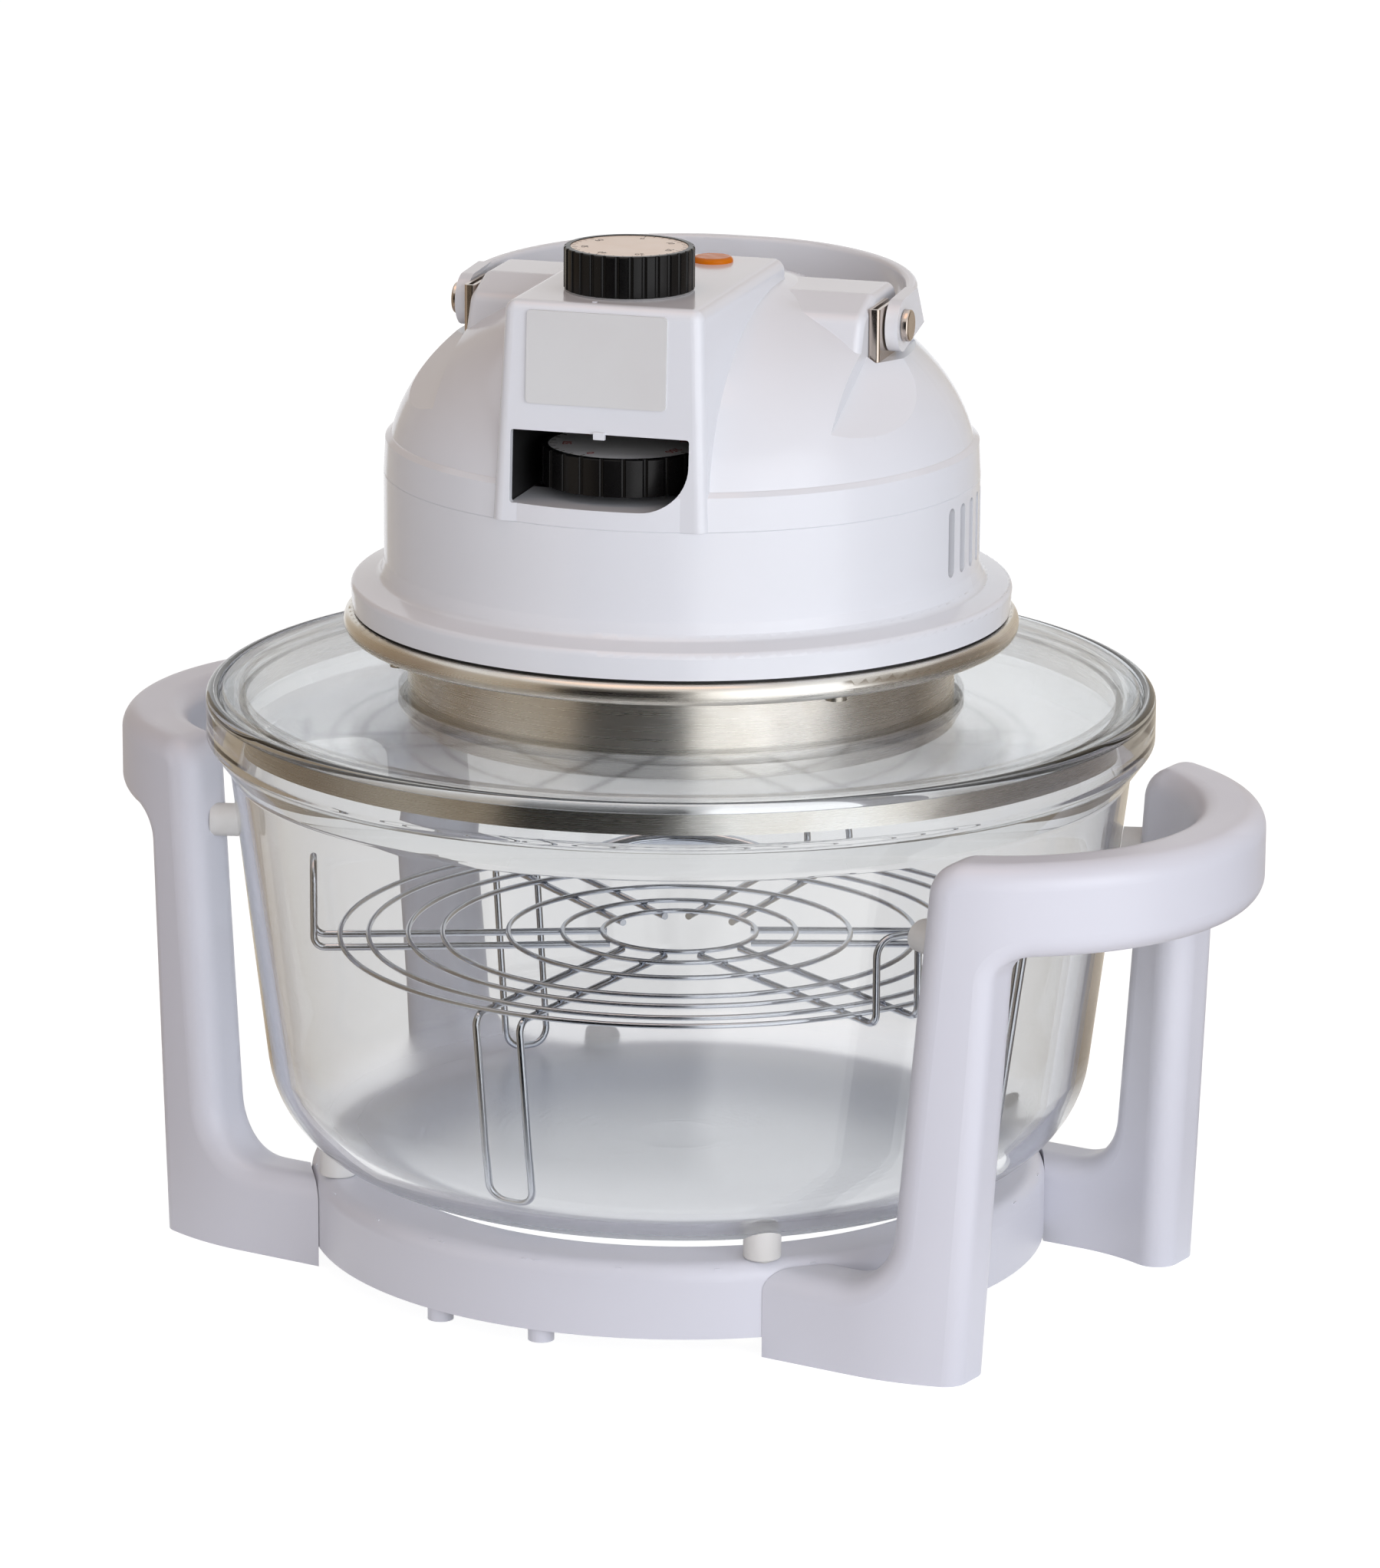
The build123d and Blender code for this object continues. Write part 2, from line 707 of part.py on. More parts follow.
def heater_pan():
    inner = PAN_R - PAN_SHEET
    lip_top = PAN_FLANGE_Z + PAN_LIP_H
    return turned(
        [
            (PAN_R, PAN_BOTTOM),
            (PAN_R, PAN_FLANGE_Z),
            (PAN_LIP_R, PAN_FLANGE_Z),
            (PAN_LIP_R, lip_top),
            (PAN_LIP_R - PAN_ROLL, lip_top),
            (PAN_LIP_R - PAN_ROLL, PAN_FLANGE_TOP),
            (inner, PAN_FLANGE_TOP),
            (inner, PAN_BOTTOM + PAN_SHEET),
            (inner - PAN_LEDGE, PAN_BOTTOM + PAN_SHEET),
            (inner - PAN_LEDGE, PAN_BOTTOM),
        ],
        [PAN_EDGE, PAN_BEND, PAN_ROLL_ROUND, PAN_ROLL_ROUND, 0, 0, PAN_BEND + PAN_SHEET, 0, 0, 0],
    )


def glass_clamp_ring():
    """An angle ring on the pan's wall that holds the lid glass from below."""
    bore = PAN_R + SNUG
    return turned(
        [
            (bore, PAN_BOTTOM + PAN_SHEET),
            (bore + PAN_SHEET, PAN_BOTTOM + PAN_SHEET),
            (bore + PAN_SHEET, LID_LOW - PAN_SHEET),
            (bore + CLAMP_REACH, LID_LOW - PAN_SHEET),
            (bore + CLAMP_REACH, LID_LOW),
            (bore, LID_LOW),
        ]
    )


def pan_gasket():
    return tube(GASKET_R, GASKET_BORE_R, PAN_FLANGE_TOP, FLANGE_Z)


def reflector_plate():
    low = PAN_FLANGE_TOP
    high = low + REFLECTOR_RISE
    dome_r = REFLECTOR_DOME_R - REFLECTOR_SLOPE
    return turned(
        [
            (REFLECTOR_BORE_R, high),
            (dome_r, high),
            (REFLECTOR_DOME_R, low),
            (REFLECTOR_R, low),
            (REFLECTOR_R, low + PAN_SHEET),
            (REFLECTOR_DOME_R + PAN_SHEET / 2, low + PAN_SHEET),
            (dome_r + PAN_SHEET / 2, high + PAN_SHEET),
            (REFLECTOR_BORE_R, high + PAN_SHEET),
        ]
    )


def heater_guard():
    """Concentric wires on spokes, resting on the pan's inner ledge."""
    z = PAN_BOTTOM + PAN_SHEET + GUARD_WIRE_R + GUARD_REST
    outer = PAN_R - PAN_SHEET - GUARD_WIRE_R - GUARD_EDGE_GAP
    pitch = (outer - GUARD_INNER_R) / (GUARD_RINGS - 1)
    rings = [Pos(0, 0, z) * Torus(GUARD_INNER_R + n * pitch, GUARD_WIRE_R) for n in range(GUARD_RINGS)]
    spoke_z = z + GUARD_WELD
    spokes = []
    for n in range(GUARD_SPOKES):
        spoke = rod_along_x(GUARD_WIRE_R, GUARD_INNER_R, outer, 0, spoke_z)
        spokes.append(at_angle(spoke, n * 360 / GUARD_SPOKES))
    return fused(rings + spokes)


def halogen_tube():
    """A bent quartz tube, open where its two ends are held."""
    section = Plane.XZ * (Pos(TUBE_CIRCLE_R, TUBE_Z) * Circle(TUBE_R))
    ring = revolve(section, Axis.Z, revolution_arc=TUBE_ARC)
    return at_angle(ring, 90 + (360 - TUBE_ARC) / 2)


def tube_holders():
    """Ceramic blocks that hang from the reflector and take the tube's ends."""
    top = PAN_FLANGE_TOP + REFLECTOR_RISE
    half = TUBE_R + HOLDER_WALL
    turn = (360 - TUBE_ARC) / 2
    length = 2 * half
    blocks = []
    for side in (1, -1):
        body = block(TUBE_CIRCLE_R - half, TUBE_CIRCLE_R + half, 0, length, TUBE_Z - half, top)
        place = 90 + turn if side > 0 else 90 - turn
        body = body if side < 0 else mirror(body, Plane.XZ)
        blocks.append(at_angle(body, place))
    return blocks


# Head housings

def lower_housing():
    shell = turned(
        [
            (FLOOR_BORE_R, FLANGE_Z),
            (FLANGE_R - FLANGE_DRAFT, FLANGE_Z),
            (FLANGE_R, FLANGE_TOP),
            (DRUM_R + DRUM_FOOT_OUT, FLANGE_TOP + DRUM_FOOT_LOW),
            (DRUM_R, FLANGE_TOP + DRUM_FOOT_HIGH),
            (DRUM_R, SPLIT_Z),
            (DRUM_R - SHELL, SPLIT_Z),
            (DRUM_R - SHELL, HOUSING_FLOOR),
            (FLOOR_BORE_R, HOUSING_FLOOR),
        ],
        [0, 0, FLANGE_EDGE, DRUM_FOOT_ROUND, FLANGE_EDGE, SPLIT_EDGE, 0, FLANGE_DRAFT, 0],
    )
    tongue_r = DRUM_R - SHELL - TONGUE_GAP
    root = SPLIT_Z - TONGUE_ROOT
    shell += tube(tongue_r, tongue_r - TONGUE, root, SPLIT_Z + TONGUE_RISE)
    shell += tube(DRUM_R - SHELL / 2, tongue_r - TONGUE, root, root + TONGUE)
    half = THERMOSTAT_POST / 2
    shell += block(-half, half, DIAL_Y - half, DIAL_Y + half, FLANGE_Z, THERMOSTAT_LOW)
    low = FLANGE_TOP + VENT_FOOT
    high = SPLIT_Z - VENT_HEAD
    wall = Plane((DRUM_R - 2 * SHELL, 0, (low + high) / 2), x_dir=(0, 0, 1), z_dir=(1, 0, 0))
    slot = extrude(wall * SlotOverall(high - low, VENT_W), 2 * SHELL + PAST)
    for side in (0, 180):
        for n in range(VENT_COUNT):
            shell -= at_angle(slot, side + (n - (VENT_COUNT - 1) / 2) * VENT_PITCH)
    return shell - along_y(CORD_BUSH_R, DRUM_R - CORD_INSIDE - PAST, DRUM_R + PAST)


def along_y(radius, start, end):
    """A round bar on the line of the cord's outlet."""
    return extrude(Plane((0, start, CORD_Z), z_dir=(0, 1, 0)) * Circle(radius), end - start)


def dome(inset):
    """The head's round form, drawn in by a wall thickness."""
    rise = DOME_RISE - inset
    radius = DOME_R - inset
    foot = SPLIT_Z - (PAST if inset else 0)
    step_r = radius * sqrt(1 - ((BAND_TOP - SPLIT_Z) / rise) ** 2)
    start = degrees(atan2((BAND_TOP - SPLIT_Z) / rise, step_r / radius))
    band = DRUM_R - inset
    line = Polyline(
        (0, foot),
        (band, foot),
        (band - BAND_DRAFT, BAND_TOP - BAND_STEP),
        (step_r + BAND_LEDGE, BAND_TOP - BAND_LEDGE / 2),
        (step_r, BAND_TOP),
    )
    arc = EllipticalCenterArc((0, SPLIT_Z), radius, rise, start_angle=start, arc_size=90 - start)
    close = Line((0, SPLIT_Z + rise), (0, foot))
    return revolve(Plane.XZ * make_face([line, arc, close]), Axis.Z)


def console(inset):
    """The control box on the front of the dome, with a slight draft."""
    low = SPLIT_Z - (PAST if inset else 0)
    top = CONSOLE_TOP - inset

    def section(half, face, z):
        depth = face - inset + CONSOLE_BACK
        return Pos(0, CONSOLE_BACK - depth / 2, z) * Rectangle(2 * (half - inset), depth)

    box = loft(
        [section(CONSOLE_HALF_LOW, CONSOLE_FACE_LOW, low), section(CONSOLE_HALF_TOP, CONSOLE_FACE_TOP, top)],
        ruled=True,
    )
    rounded = []
    for edge in box.edges():
        place = edge.center()
        upright = edge.bounding_box().size.Z > CONSOLE_H / 2 and place.Y < TIMER_Y
        crown = abs(place.Z - top) < TINY and place.Y < CONSOLE_BACK - TINY
        if upright or crown:
            rounded.append(edge)
    return fillet(rounded, CONSOLE_ROUND - inset)


def hinge_lug(inset):
    """A pylon from the dome to the carry handle's pivot, on the right side."""
    outline = FilletPolyline(
        (LUG_FRONT_LOW_Y + inset, LUG_LOW),
        (LUG_BROW_Y + inset, LUG_TOP - LUG_BROW_DROP - inset),
        (LUG_FRONT_Y + inset, LUG_TOP - inset),
        (LUG_BACK_Y - inset, LUG_TOP - inset),
        (LUG_BACK_LOW_Y - inset, LUG_LOW + LUG_SHOULDER),
        (LUG_BACK_LOW_Y - inset, LUG_LOW),
        radius=[0, LUG_ROUND - inset, LUG_ROUND - inset, LUG_ROUND - inset, 0, 0],
        close=True,
    )
    lug = extrude(Plane.YZ * make_face(outline), LUG_X - inset)
    side = lug.faces().sort_by(Axis.X)[-1]
    crown = [e for e in side.edges() if e.center().Z > LUG_LOW + TINY]
    return fillet(crown, LUG_EDGE - inset)


def handle_seat(inset):
    """What is cut from the dome to make room for the folded carry handle."""
    around = handle_plan(HANDLE_IN_X - HANDLE_GAP - inset)
    reach = 2 * DOME_R
    top = CONSOLE_TOP + PAST
    front = PIVOT_Y - HINGE_PLATE_FRONT - PAST
    back = PIVOT_Y + 3 * EYE_R + PAST
    ledge = block(-reach, reach, front, reach, HANDLE_LOW - HANDLE_GAP / 2 - inset, top)
    pocket_low = PIVOT_Z - HINGE_PLATE_DROP - inset
    pocket = block(LUG_X - inset, reach, front - inset, back + inset, pocket_low, top)
    return ledge - around + both_sides(pocket)


def handle_plan(half):
    """A U-shaped plan about the pivots, open to the front, as a tall prism."""
    back = HANDLE_BACK_Y - (HANDLE_HALF - half)
    corner = HANDLE_CORNER - (HANDLE_HALF - half)
    outline = FilletPolyline(
        (half, -half),
        (half, back),
        (-half, back),
        (-half, -half),
        radius=[0, corner, corner, 0],
        close=True,
    )
    return Pos(0, 0, SPLIT_Z) * extrude(make_face(outline), CONSOLE_H + 2 * PAST)


def side_facet(inset):
    """A flat scoop in the dome below each pivot."""
    start = Vector(LUG_X + FACET_OUT, PIVOT_Y - EYE_R, PIVOT_Z - EYE_R + FACET_RISE)
    normal = Vector(*FACET_NORMAL)
    plane = Plane(origin=start - normal * inset, z_dir=normal)
    slab = plane * Pos(0, 0, DOME_R) * Box(2 * DOME_R, 2 * DOME_R, 2 * DOME_R)
    wall_x = LUG_X - inset
    region = block(wall_x, 2 * DOME_R, -DOME_R, PIVOT_Y, SPLIT_Z, CONSOLE_TOP)
    return both_sides(slab & region)


def head_form(inset):
    form = dome(inset) + both_sides(hinge_lug(inset)) - handle_seat(inset) - side_facet(inset)
    return form + console(inset)


def upper_housing():
    outside = head_form(0)
    shell = outside - head_form(SHELL)
    shell -= dial_slot()
    shelf_back = DIAL_Y - SPINDLE_HOLE_R
    shelf_low = SLOT_LOW - SLOT_SHELF
    shell += block(-SLOT_HALF_W, SLOT_HALF_W, -DRUM_R, shelf_back, shelf_low, SLOT_LOW) & outside
    shell -= rod(SPINDLE_HOLE_R, CONSOLE_TOP - 2 * SHELL, CONSOLE_TOP + PAST, 0, TIMER_Y)
    shell -= rod(LENS_R - LENS_LIP, CONSOLE_TOP - 3 * SHELL, CONSOLE_TOP + PAST, LENS_X, LENS_Y)
    boss = rod_along_x(PIN_BOSS_R, PIN_INNER_X, LUG_X - SHELL / 2, PIVOT_Y, PIVOT_Z)
    shell += both_sides(boss)
    pin_hole = rod_along_x(PIN_R, PIN_INNER_X - PAST, LUG_X + PAST, PIVOT_Y, PIVOT_Z)
    return shell - both_sides(pin_hole)


def dial_slot():
    outline = FilletPolyline(
        (-SLOT_HALF_W, SLOT_LOW),
        (SLOT_HALF_W, SLOT_LOW),
        (SLOT_HALF_W, SLOT_HIGH),
        (-SLOT_HALF_W, SLOT_HIGH),
        radius=[SLOT_CORNER, SLOT_SWEEP, SLOT_CORNER, SLOT_CORNER],
        close=True,
    )
    behind = block(-DOME_R, DOME_R, DIAL_Y, DOME_R, SPLIT_Z, CONSOLE_TOP)
    return extrude(Plane.XZ * make_face(outline), DRUM_R + PAST) - behind


# Console pieces

def face_y(z):
    """Where the console's sloping front face stands at a height."""
    share = (z - SPLIT_Z) / (CONSOLE_TOP - SPLIT_Z)
    return -(CONSOLE_FACE_LOW + share * (CONSOLE_FACE_TOP - CONSOLE_FACE_LOW))


def name_plate():
    tilt = degrees(atan2(CONSOLE_FACE_LOW - CONSOLE_FACE_TOP, CONSOLE_TOP - SPLIT_Z))
    plane = Plane(
        origin=(PLATE_X, face_y(PLATE_Z), PLATE_Z),
        x_dir=(1, 0, 0),
        z_dir=(0, -cos(radians(tilt)), sin(radians(tilt))),
    )
    return extrude(plane * RectangleRounded(PLATE_W, PLATE_H, PLATE_CORNER), PLATE_THICK)


def timer_bezel():
    ring = tube(KNOB_R - BEZEL_INSET, SPINDLE_HOLE_R, CONSOLE_TOP, CONSOLE_TOP + BEZEL_H)
    return Pos(0, TIMER_Y, 0) * ring


def fluted(radius, low, high, flutes):
    """A disc with half-round flutes round its edge."""
    disc = fillet(rod(radius, low, high).edges().group_by(Axis.Z)[-1], KNOB_EDGE)
    cut = rod(FLUTE_R, low - PAST, high + PAST, radius + FLUTE_OUT)
    return disc - [at_angle(cut, n * 360 / flutes) for n in range(flutes)]


def timer_knob():
    top = KNOB_LOW + KNOB_H
    knob = fluted(KNOB_R, KNOB_LOW, top, KNOB_FLUTES)
    knob -= rod(KNOB_DISC_R, top - KNOB_DISC_H, top + PAST)
    knob -= rod(SPINDLE_R, KNOB_LOW - PAST, top - KNOB_DISC_H - KNOB_ROOF)
    return Pos(0, TIMER_Y, 0) * knob


def timer_knob_disc():
    top = KNOB_LOW + KNOB_H
    return rod(KNOB_DISC_R - SNUG / 2, top - KNOB_DISC_H, top - DISC_SINK, 0, TIMER_Y)


def timer_spindle():
    top = KNOB_LOW + KNOB_H - KNOB_DISC_H - KNOB_ROOF
    return rod(SPINDLE_R, timer_top() - TIMER_H / 2, top, 0, TIMER_Y)


def timer_top():
    return CONSOLE_TOP - SHELL


def timer_body():
    half = TIMER_W / 2
    case = block(-half, half, TIMER_Y - half, TIMER_Y + half, timer_top() - TIMER_H, timer_top())
    case = fillet(case.edges().filter_by(Axis.Z), TIMER_CORNER)
    hole_low = timer_top() - TIMER_H / 2 - SPINDLE_FOOT_GAP
    return case - rod(SPINDLE_R + RUN, hole_low, timer_top() + PAST, 0, TIMER_Y)


def thermostat_dial():
    dial = fluted(DIAL_R, DIAL_LOW, DIAL_TOP, DIAL_FLUTES)
    dial -= rod(DIAL_R - DIAL_RIM, DIAL_TOP - KNOB_DISC_H, DIAL_TOP + PAST)
    dial -= rod(SPINDLE_R, DIAL_LOW - PAST, DIAL_TOP - KNOB_DISC_H - KNOB_ROOF)
    return Pos(0, DIAL_Y, 0) * dial


def dial_scale_disc():
    return rod(DIAL_R - DIAL_RIM - SNUG / 2, DIAL_TOP - KNOB_DISC_H, DIAL_TOP - DISC_SINK, 0, DIAL_Y)


def thermostat_spindle():
    top = DIAL_TOP - KNOB_DISC_H - KNOB_ROOF
    return rod(SPINDLE_R, THERMOSTAT_TOP - THERMOSTAT_H / 2, top, 0, DIAL_Y)


def thermostat_body():
    half = THERMOSTAT_W / 2
    case = block(-half, half, DIAL_Y - half, DIAL_Y + half, THERMOSTAT_LOW, THERMOSTAT_TOP)
    case = fillet(case.edges().filter_by(Axis.Z), THERMOSTAT_CORNER)
    hole_low = THERMOSTAT_TOP - THERMOSTAT_H / 2 - SPINDLE_FOOT_GAP
    return case - rod(SPINDLE_R + RUN, hole_low, THERMOSTAT_TOP + PAST, 0, DIAL_Y)


def lamp_lens():
    rim = rod(LENS_R, CONSOLE_TOP, CONSOLE_TOP + LENS_RISE, LENS_X, LENS_Y)
    rim = fillet(rim.edges().group_by(Axis.Z)[-1], LENS_EDGE)
    tail_low = CONSOLE_TOP - SHELL - LENS_TAIL
    return rim + rod(LENS_R - LENS_LIP - SNUG, tail_low, CONSOLE_TOP + LENS_RISE / 2, LENS_X, LENS_Y)


def indicator_lamp():
    high = CONSOLE_TOP - SHELL - LENS_TAIL
    return rod(LAMP_R, high - LAMP_H, high, LENS_X, LENS_Y)


# Carry handle

def carry_handle():
    """A bail that lies in its seat round the dome and turns up about two pins."""
    reach = 2 * HANDLE_HALF
    band = block(-reach, reach, PIVOT_Y, reach, HANDLE_LOW, HANDLE_TOP)
    bar = (handle_plan(HANDLE_HALF) - handle_plan(HANDLE_IN_X)) & band
    long_edges = [e for e in bar.edges() if e.bounding_box().size.Z < TINY and e.center().Y > PIVOT_Y + PAST]
    bar = fillet(long_edges, HANDLE_EDGE)
    web = Polyline(
        (PIVOT_Y, HANDLE_TOP),
        (PIVOT_Y + 2 * EYE_R, HANDLE_TOP),
        (PIVOT_Y + 3 * EYE_R, HANDLE_LOW),
        (PIVOT_Y, PIVOT_Z - EYE_R),
        close=True,
    )
    side = Plane((HANDLE_IN_X, 0, 0), x_dir=(0, 1, 0), z_dir=(1, 0, 0))
    eye = extrude(side * (make_face(web) + Pos(PIVOT_Y, PIVOT_Z) * Circle(EYE_R)), HANDLE_THICK)
    bore = rod_along_x(PIN_R + RUN, HANDLE_IN_X - PAST, HANDLE_HALF + PAST, PIVOT_Y, PIVOT_Z)
    bail = fused([bar, eye, mirror(eye, Plane.YZ)]) - both_sides(bore)
    return bail.rotate(Axis((0, PIVOT_Y, PIVOT_Z), (1, 0, 0)), HANDLE_TILT)


def hinge_pins():
    face = HANDLE_HALF + SEAT
    shank = rod_along_x(PIN_R, PIN_INNER_X, face, PIVOT_Y, PIVOT_Z)
    head = rod_along_x(PIN_HEAD_R, face, face + PIN_HEAD, PIVOT_Y, PIVOT_Z)
    head = fillet(head.edges().group_by(Axis.X)[-1], PIN_HEAD_EDGE)
    pin = shank + head
    return [pin, mirror(pin, Plane.YZ)]


def hinge_plates():
    """Folded steel channels between the lugs and the handle's arms."""
    low = PIVOT_Z - HINGE_PLATE_DROP
    high = low + HINGE_PLATE_H
    front = PIVOT_Y - HINGE_PLATE_FRONT
    back = PIVOT_Y + HINGE_PLATE_BACK
    outer = LUG_X + HINGE_PLATE_W
    plate = block(LUG_X, outer, front, back, low, high)
    plate = fillet(plate.edges().filter_by(Axis.Z).group_by(Axis.Y)[0], HINGE_SHEET)
    inside = (LUG_X + HINGE_SHEET, outer - HINGE_SHEET, front + HINGE_SHEET, back + PAST)
    plate -= block(*inside, low - PAST, high + PAST)
    plate -= rod_along_x(PIN_R + SNUG, LUG_X - PAST, outer + PAST, PIVOT_Y, PIVOT_Z)
    return [plate, mirror(plate, Plane.YZ)]


# Motor, fans and wiring

def motor_plate():
    top = HOUSING_FLOOR + MOTOR_PLATE
    plate = rod(MOTOR_PLATE_R, HOUSING_FLOOR, top)
    inset = CORE_ARM / 2
    for x in (-CORE_HALF_X + inset, CORE_HALF_X - inset):
        for y in (CORE_FRONT_Y + inset, CORE_BACK_Y - inset):
            plate += rod(POST_R, HOUSING_FLOOR, CORE_LOW, x, y)
    half = THERMOSTAT_POST / 2 + SEAT
    plate -= block(-half, half, DIAL_Y - half, DIAL_Y + half, HOUSING_FLOOR - PAST, top + PAST)
    return plate - rod(BUSH_R + SNUG, HOUSING_FLOOR - PAST, top + PAST)


def shaft_bush():
    low = HOUSING_FLOOR - BUSH_DROP
    flange_low = HOUSING_FLOOR + MOTOR_PLATE
    bush = rod(BUSH_R, low, CORE_LOW - BUSH_FLANGE)
    bush += rod(BUSH_R + BUSH_FLANGE, flange_low, flange_low + BUSH_FLANGE)
    return bush - rod(SHAFT_R + RUN, low - PAST, CORE_LOW)


def motor_core():
    """A laminated frame: pole block round the rotor, two arms and a yoke for the coil."""
    core = block(-CORE_HALF_X, CORE_HALF_X, CORE_FRONT_Y, CORE_BACK_Y, CORE_LOW, CORE_TOP)
    window_x = CORE_HALF_X - CORE_ARM
    pole_y = ROTOR_R + ROTOR_GAP + POLE_WALL
    yoke_y = CORE_BACK_Y - CORE_ARM
    core -= block(-window_x, window_x, pole_y, yoke_y, CORE_LOW - PAST, CORE_TOP + PAST)
    return core - rod(ROTOR_R + ROTOR_GAP, CORE_LOW - PAST, CORE_TOP + PAST)


def motor_coil():
    half = CORE_HALF_X - CORE_ARM - COIL_SIDE_GAP
    yoke_y = CORE_BACK_Y - CORE_ARM

    def round_yoke(half_x, over):
        return block(
            -half_x, half_x, yoke_y - over, CORE_BACK_Y + over, CORE_LOW - over, CORE_TOP + over
        )

    coil = fillet(round_yoke(half, COIL_OVER).edges().filter_by(Axis.X), COIL_OVER / 2)
    return coil - round_yoke(half + PAST, SNUG)


def bearing_strap():
    bar_low = CORE_TOP + STRAP_RISE
    bar_top = bar_low + STRAP_SHEET
    strap = block(-CORE_HALF_X, CORE_HALF_X, -STRAP_HALF_Y, STRAP_HALF_Y, bar_low, bar_top)
    foot = block(CORE_HALF_X - CORE_ARM / 2, CORE_HALF_X, -STRAP_HALF_Y, STRAP_HALF_Y, CORE_TOP, bar_low)
    strap += both_sides(foot) + rod(STRAP_HALF_Y, bar_low, STRAP_TOP)
    return strap - rod(SHAFT_R + RUN, CORE_TOP, STRAP_TOP + PAST)


def motor_shaft():
    return rod(SHAFT_R, FAN_LOW - SHAFT_END, COOLER_TOP + SHAFT_END / 2)


def motor_rotor():
    return tube(ROTOR_R, SHAFT_R + SNUG / 2, CORE_LOW - ROTOR_OVER, CORE_TOP + ROTOR_OVER)


def convection_fan():
    """A disc with swept blades folded down from it."""
    disc = rod(FAN_R, FAN_TOP - FAN_SHEET, FAN_TOP) + rod(FAN_HUB_R, FAN_LOW, FAN_TOP)
    blade_x = FAN_R - FAN_SHEET - FAN_BLADE / 2
    blade = Rot(0, 0, FAN_SWEEP) * Box(FAN_BLADE, FAN_SHEET, FAN_H)
    blade = Pos(blade_x, 0, FAN_LOW + FAN_H / 2) * blade
    blades = [at_angle(blade, n * 360 / FAN_BLADES) for n in range(FAN_BLADES)]
    return fused([disc, *blades]) - rod(SHAFT_R + SNUG / 2, FAN_LOW - PAST, FAN_TOP + PAST)


def cooling_fan():
    hub = rod(FAN_HUB_R, COOLER_LOW, COOLER_TOP)
    root = FAN_HUB_R - FAN_SHEET
    blade = Rot(COOLER_PITCH, 0, 0) * Box(COOLER_R - root, COOLER_CHORD, FAN_SHEET)
    blade = Pos((root + COOLER_R) / 2, 0, COOLER_LOW + COOLER_H / 2) * blade
    blades = [at_angle(blade, n * 360 / COOLER_BLADES) for n in range(COOLER_BLADES)]
    return fused([hub, *blades]) - rod(SHAFT_R + SNUG / 2, COOLER_LOW - PAST, COOLER_TOP + PAST)


def safety_switch():
    """The switch behind the right pivot that the folded handle closes."""
    low = PIVOT_Z - SWITCH_DROP
    front = PIVOT_Y - SWITCH_FRONT
    back = PIVOT_Y + SWITCH_BACK
    return block(PIN_INNER_X - SWITCH_X, PIN_INNER_X, front, back, low, low + SWITCH_H)


def terminal_block():
    top = HOUSING_FLOOR + TERMINAL_Z
    y = DRUM_R - TERMINAL_INSET
    half = TERMINAL_X / 2
    body = block(-half, half, y - TERMINAL_Y / 2, y + TERMINAL_Y / 2, HOUSING_FLOOR, top)
    for n in (-1, 0, 1):
        body -= rod(TERMINAL_HOLE_R, HOUSING_FLOOR + TERMINAL_Z / 2, top + PAST, n * TERMINAL_PITCH, y)
    return body


def cord_bush():
    inside = DRUM_R - CORD_INSIDE
    face = DRUM_R + SNUG
    outside = face + CORD_FLANGE
    bush = along_y(CORD_BUSH_R - SNUG, inside, outside) + along_y(CORD_FLANGE_R, face, outside)
    return bush - along_y(CORD_BORE_R, inside - PAST, outside + PAST)


def pan_screw_places():
    angles = [radians((n + 0.5) * 360 / PAN_SCREWS) for n in range(PAN_SCREWS)]
    return [(PAN_SCREW_CIRCLE_R * cos(a), PAN_SCREW_CIRCLE_R * sin(a)) for a in angles]


def with_screw_holes(solid):
    for x, y in pan_screw_places():
        solid -= rod(PAN_SCREW_R + SNUG / 2, PAN_BOTTOM, HOUSING_FLOOR + PAST, x, y)
    return solid


def pan_screws():
    screws = []
    for x, y in pan_screw_places():
        shank = rod(PAN_SCREW_R, PAN_FLANGE_Z - PAN_SCREW_HEAD, HOUSING_FLOOR, x, y)
        head = rod(PAN_SCREW_HEAD_R, PAN_FLANGE_Z - PAN_SCREW_HEAD, PAN_FLANGE_Z, x, y)
        screws.append(shank + head)
    return screws


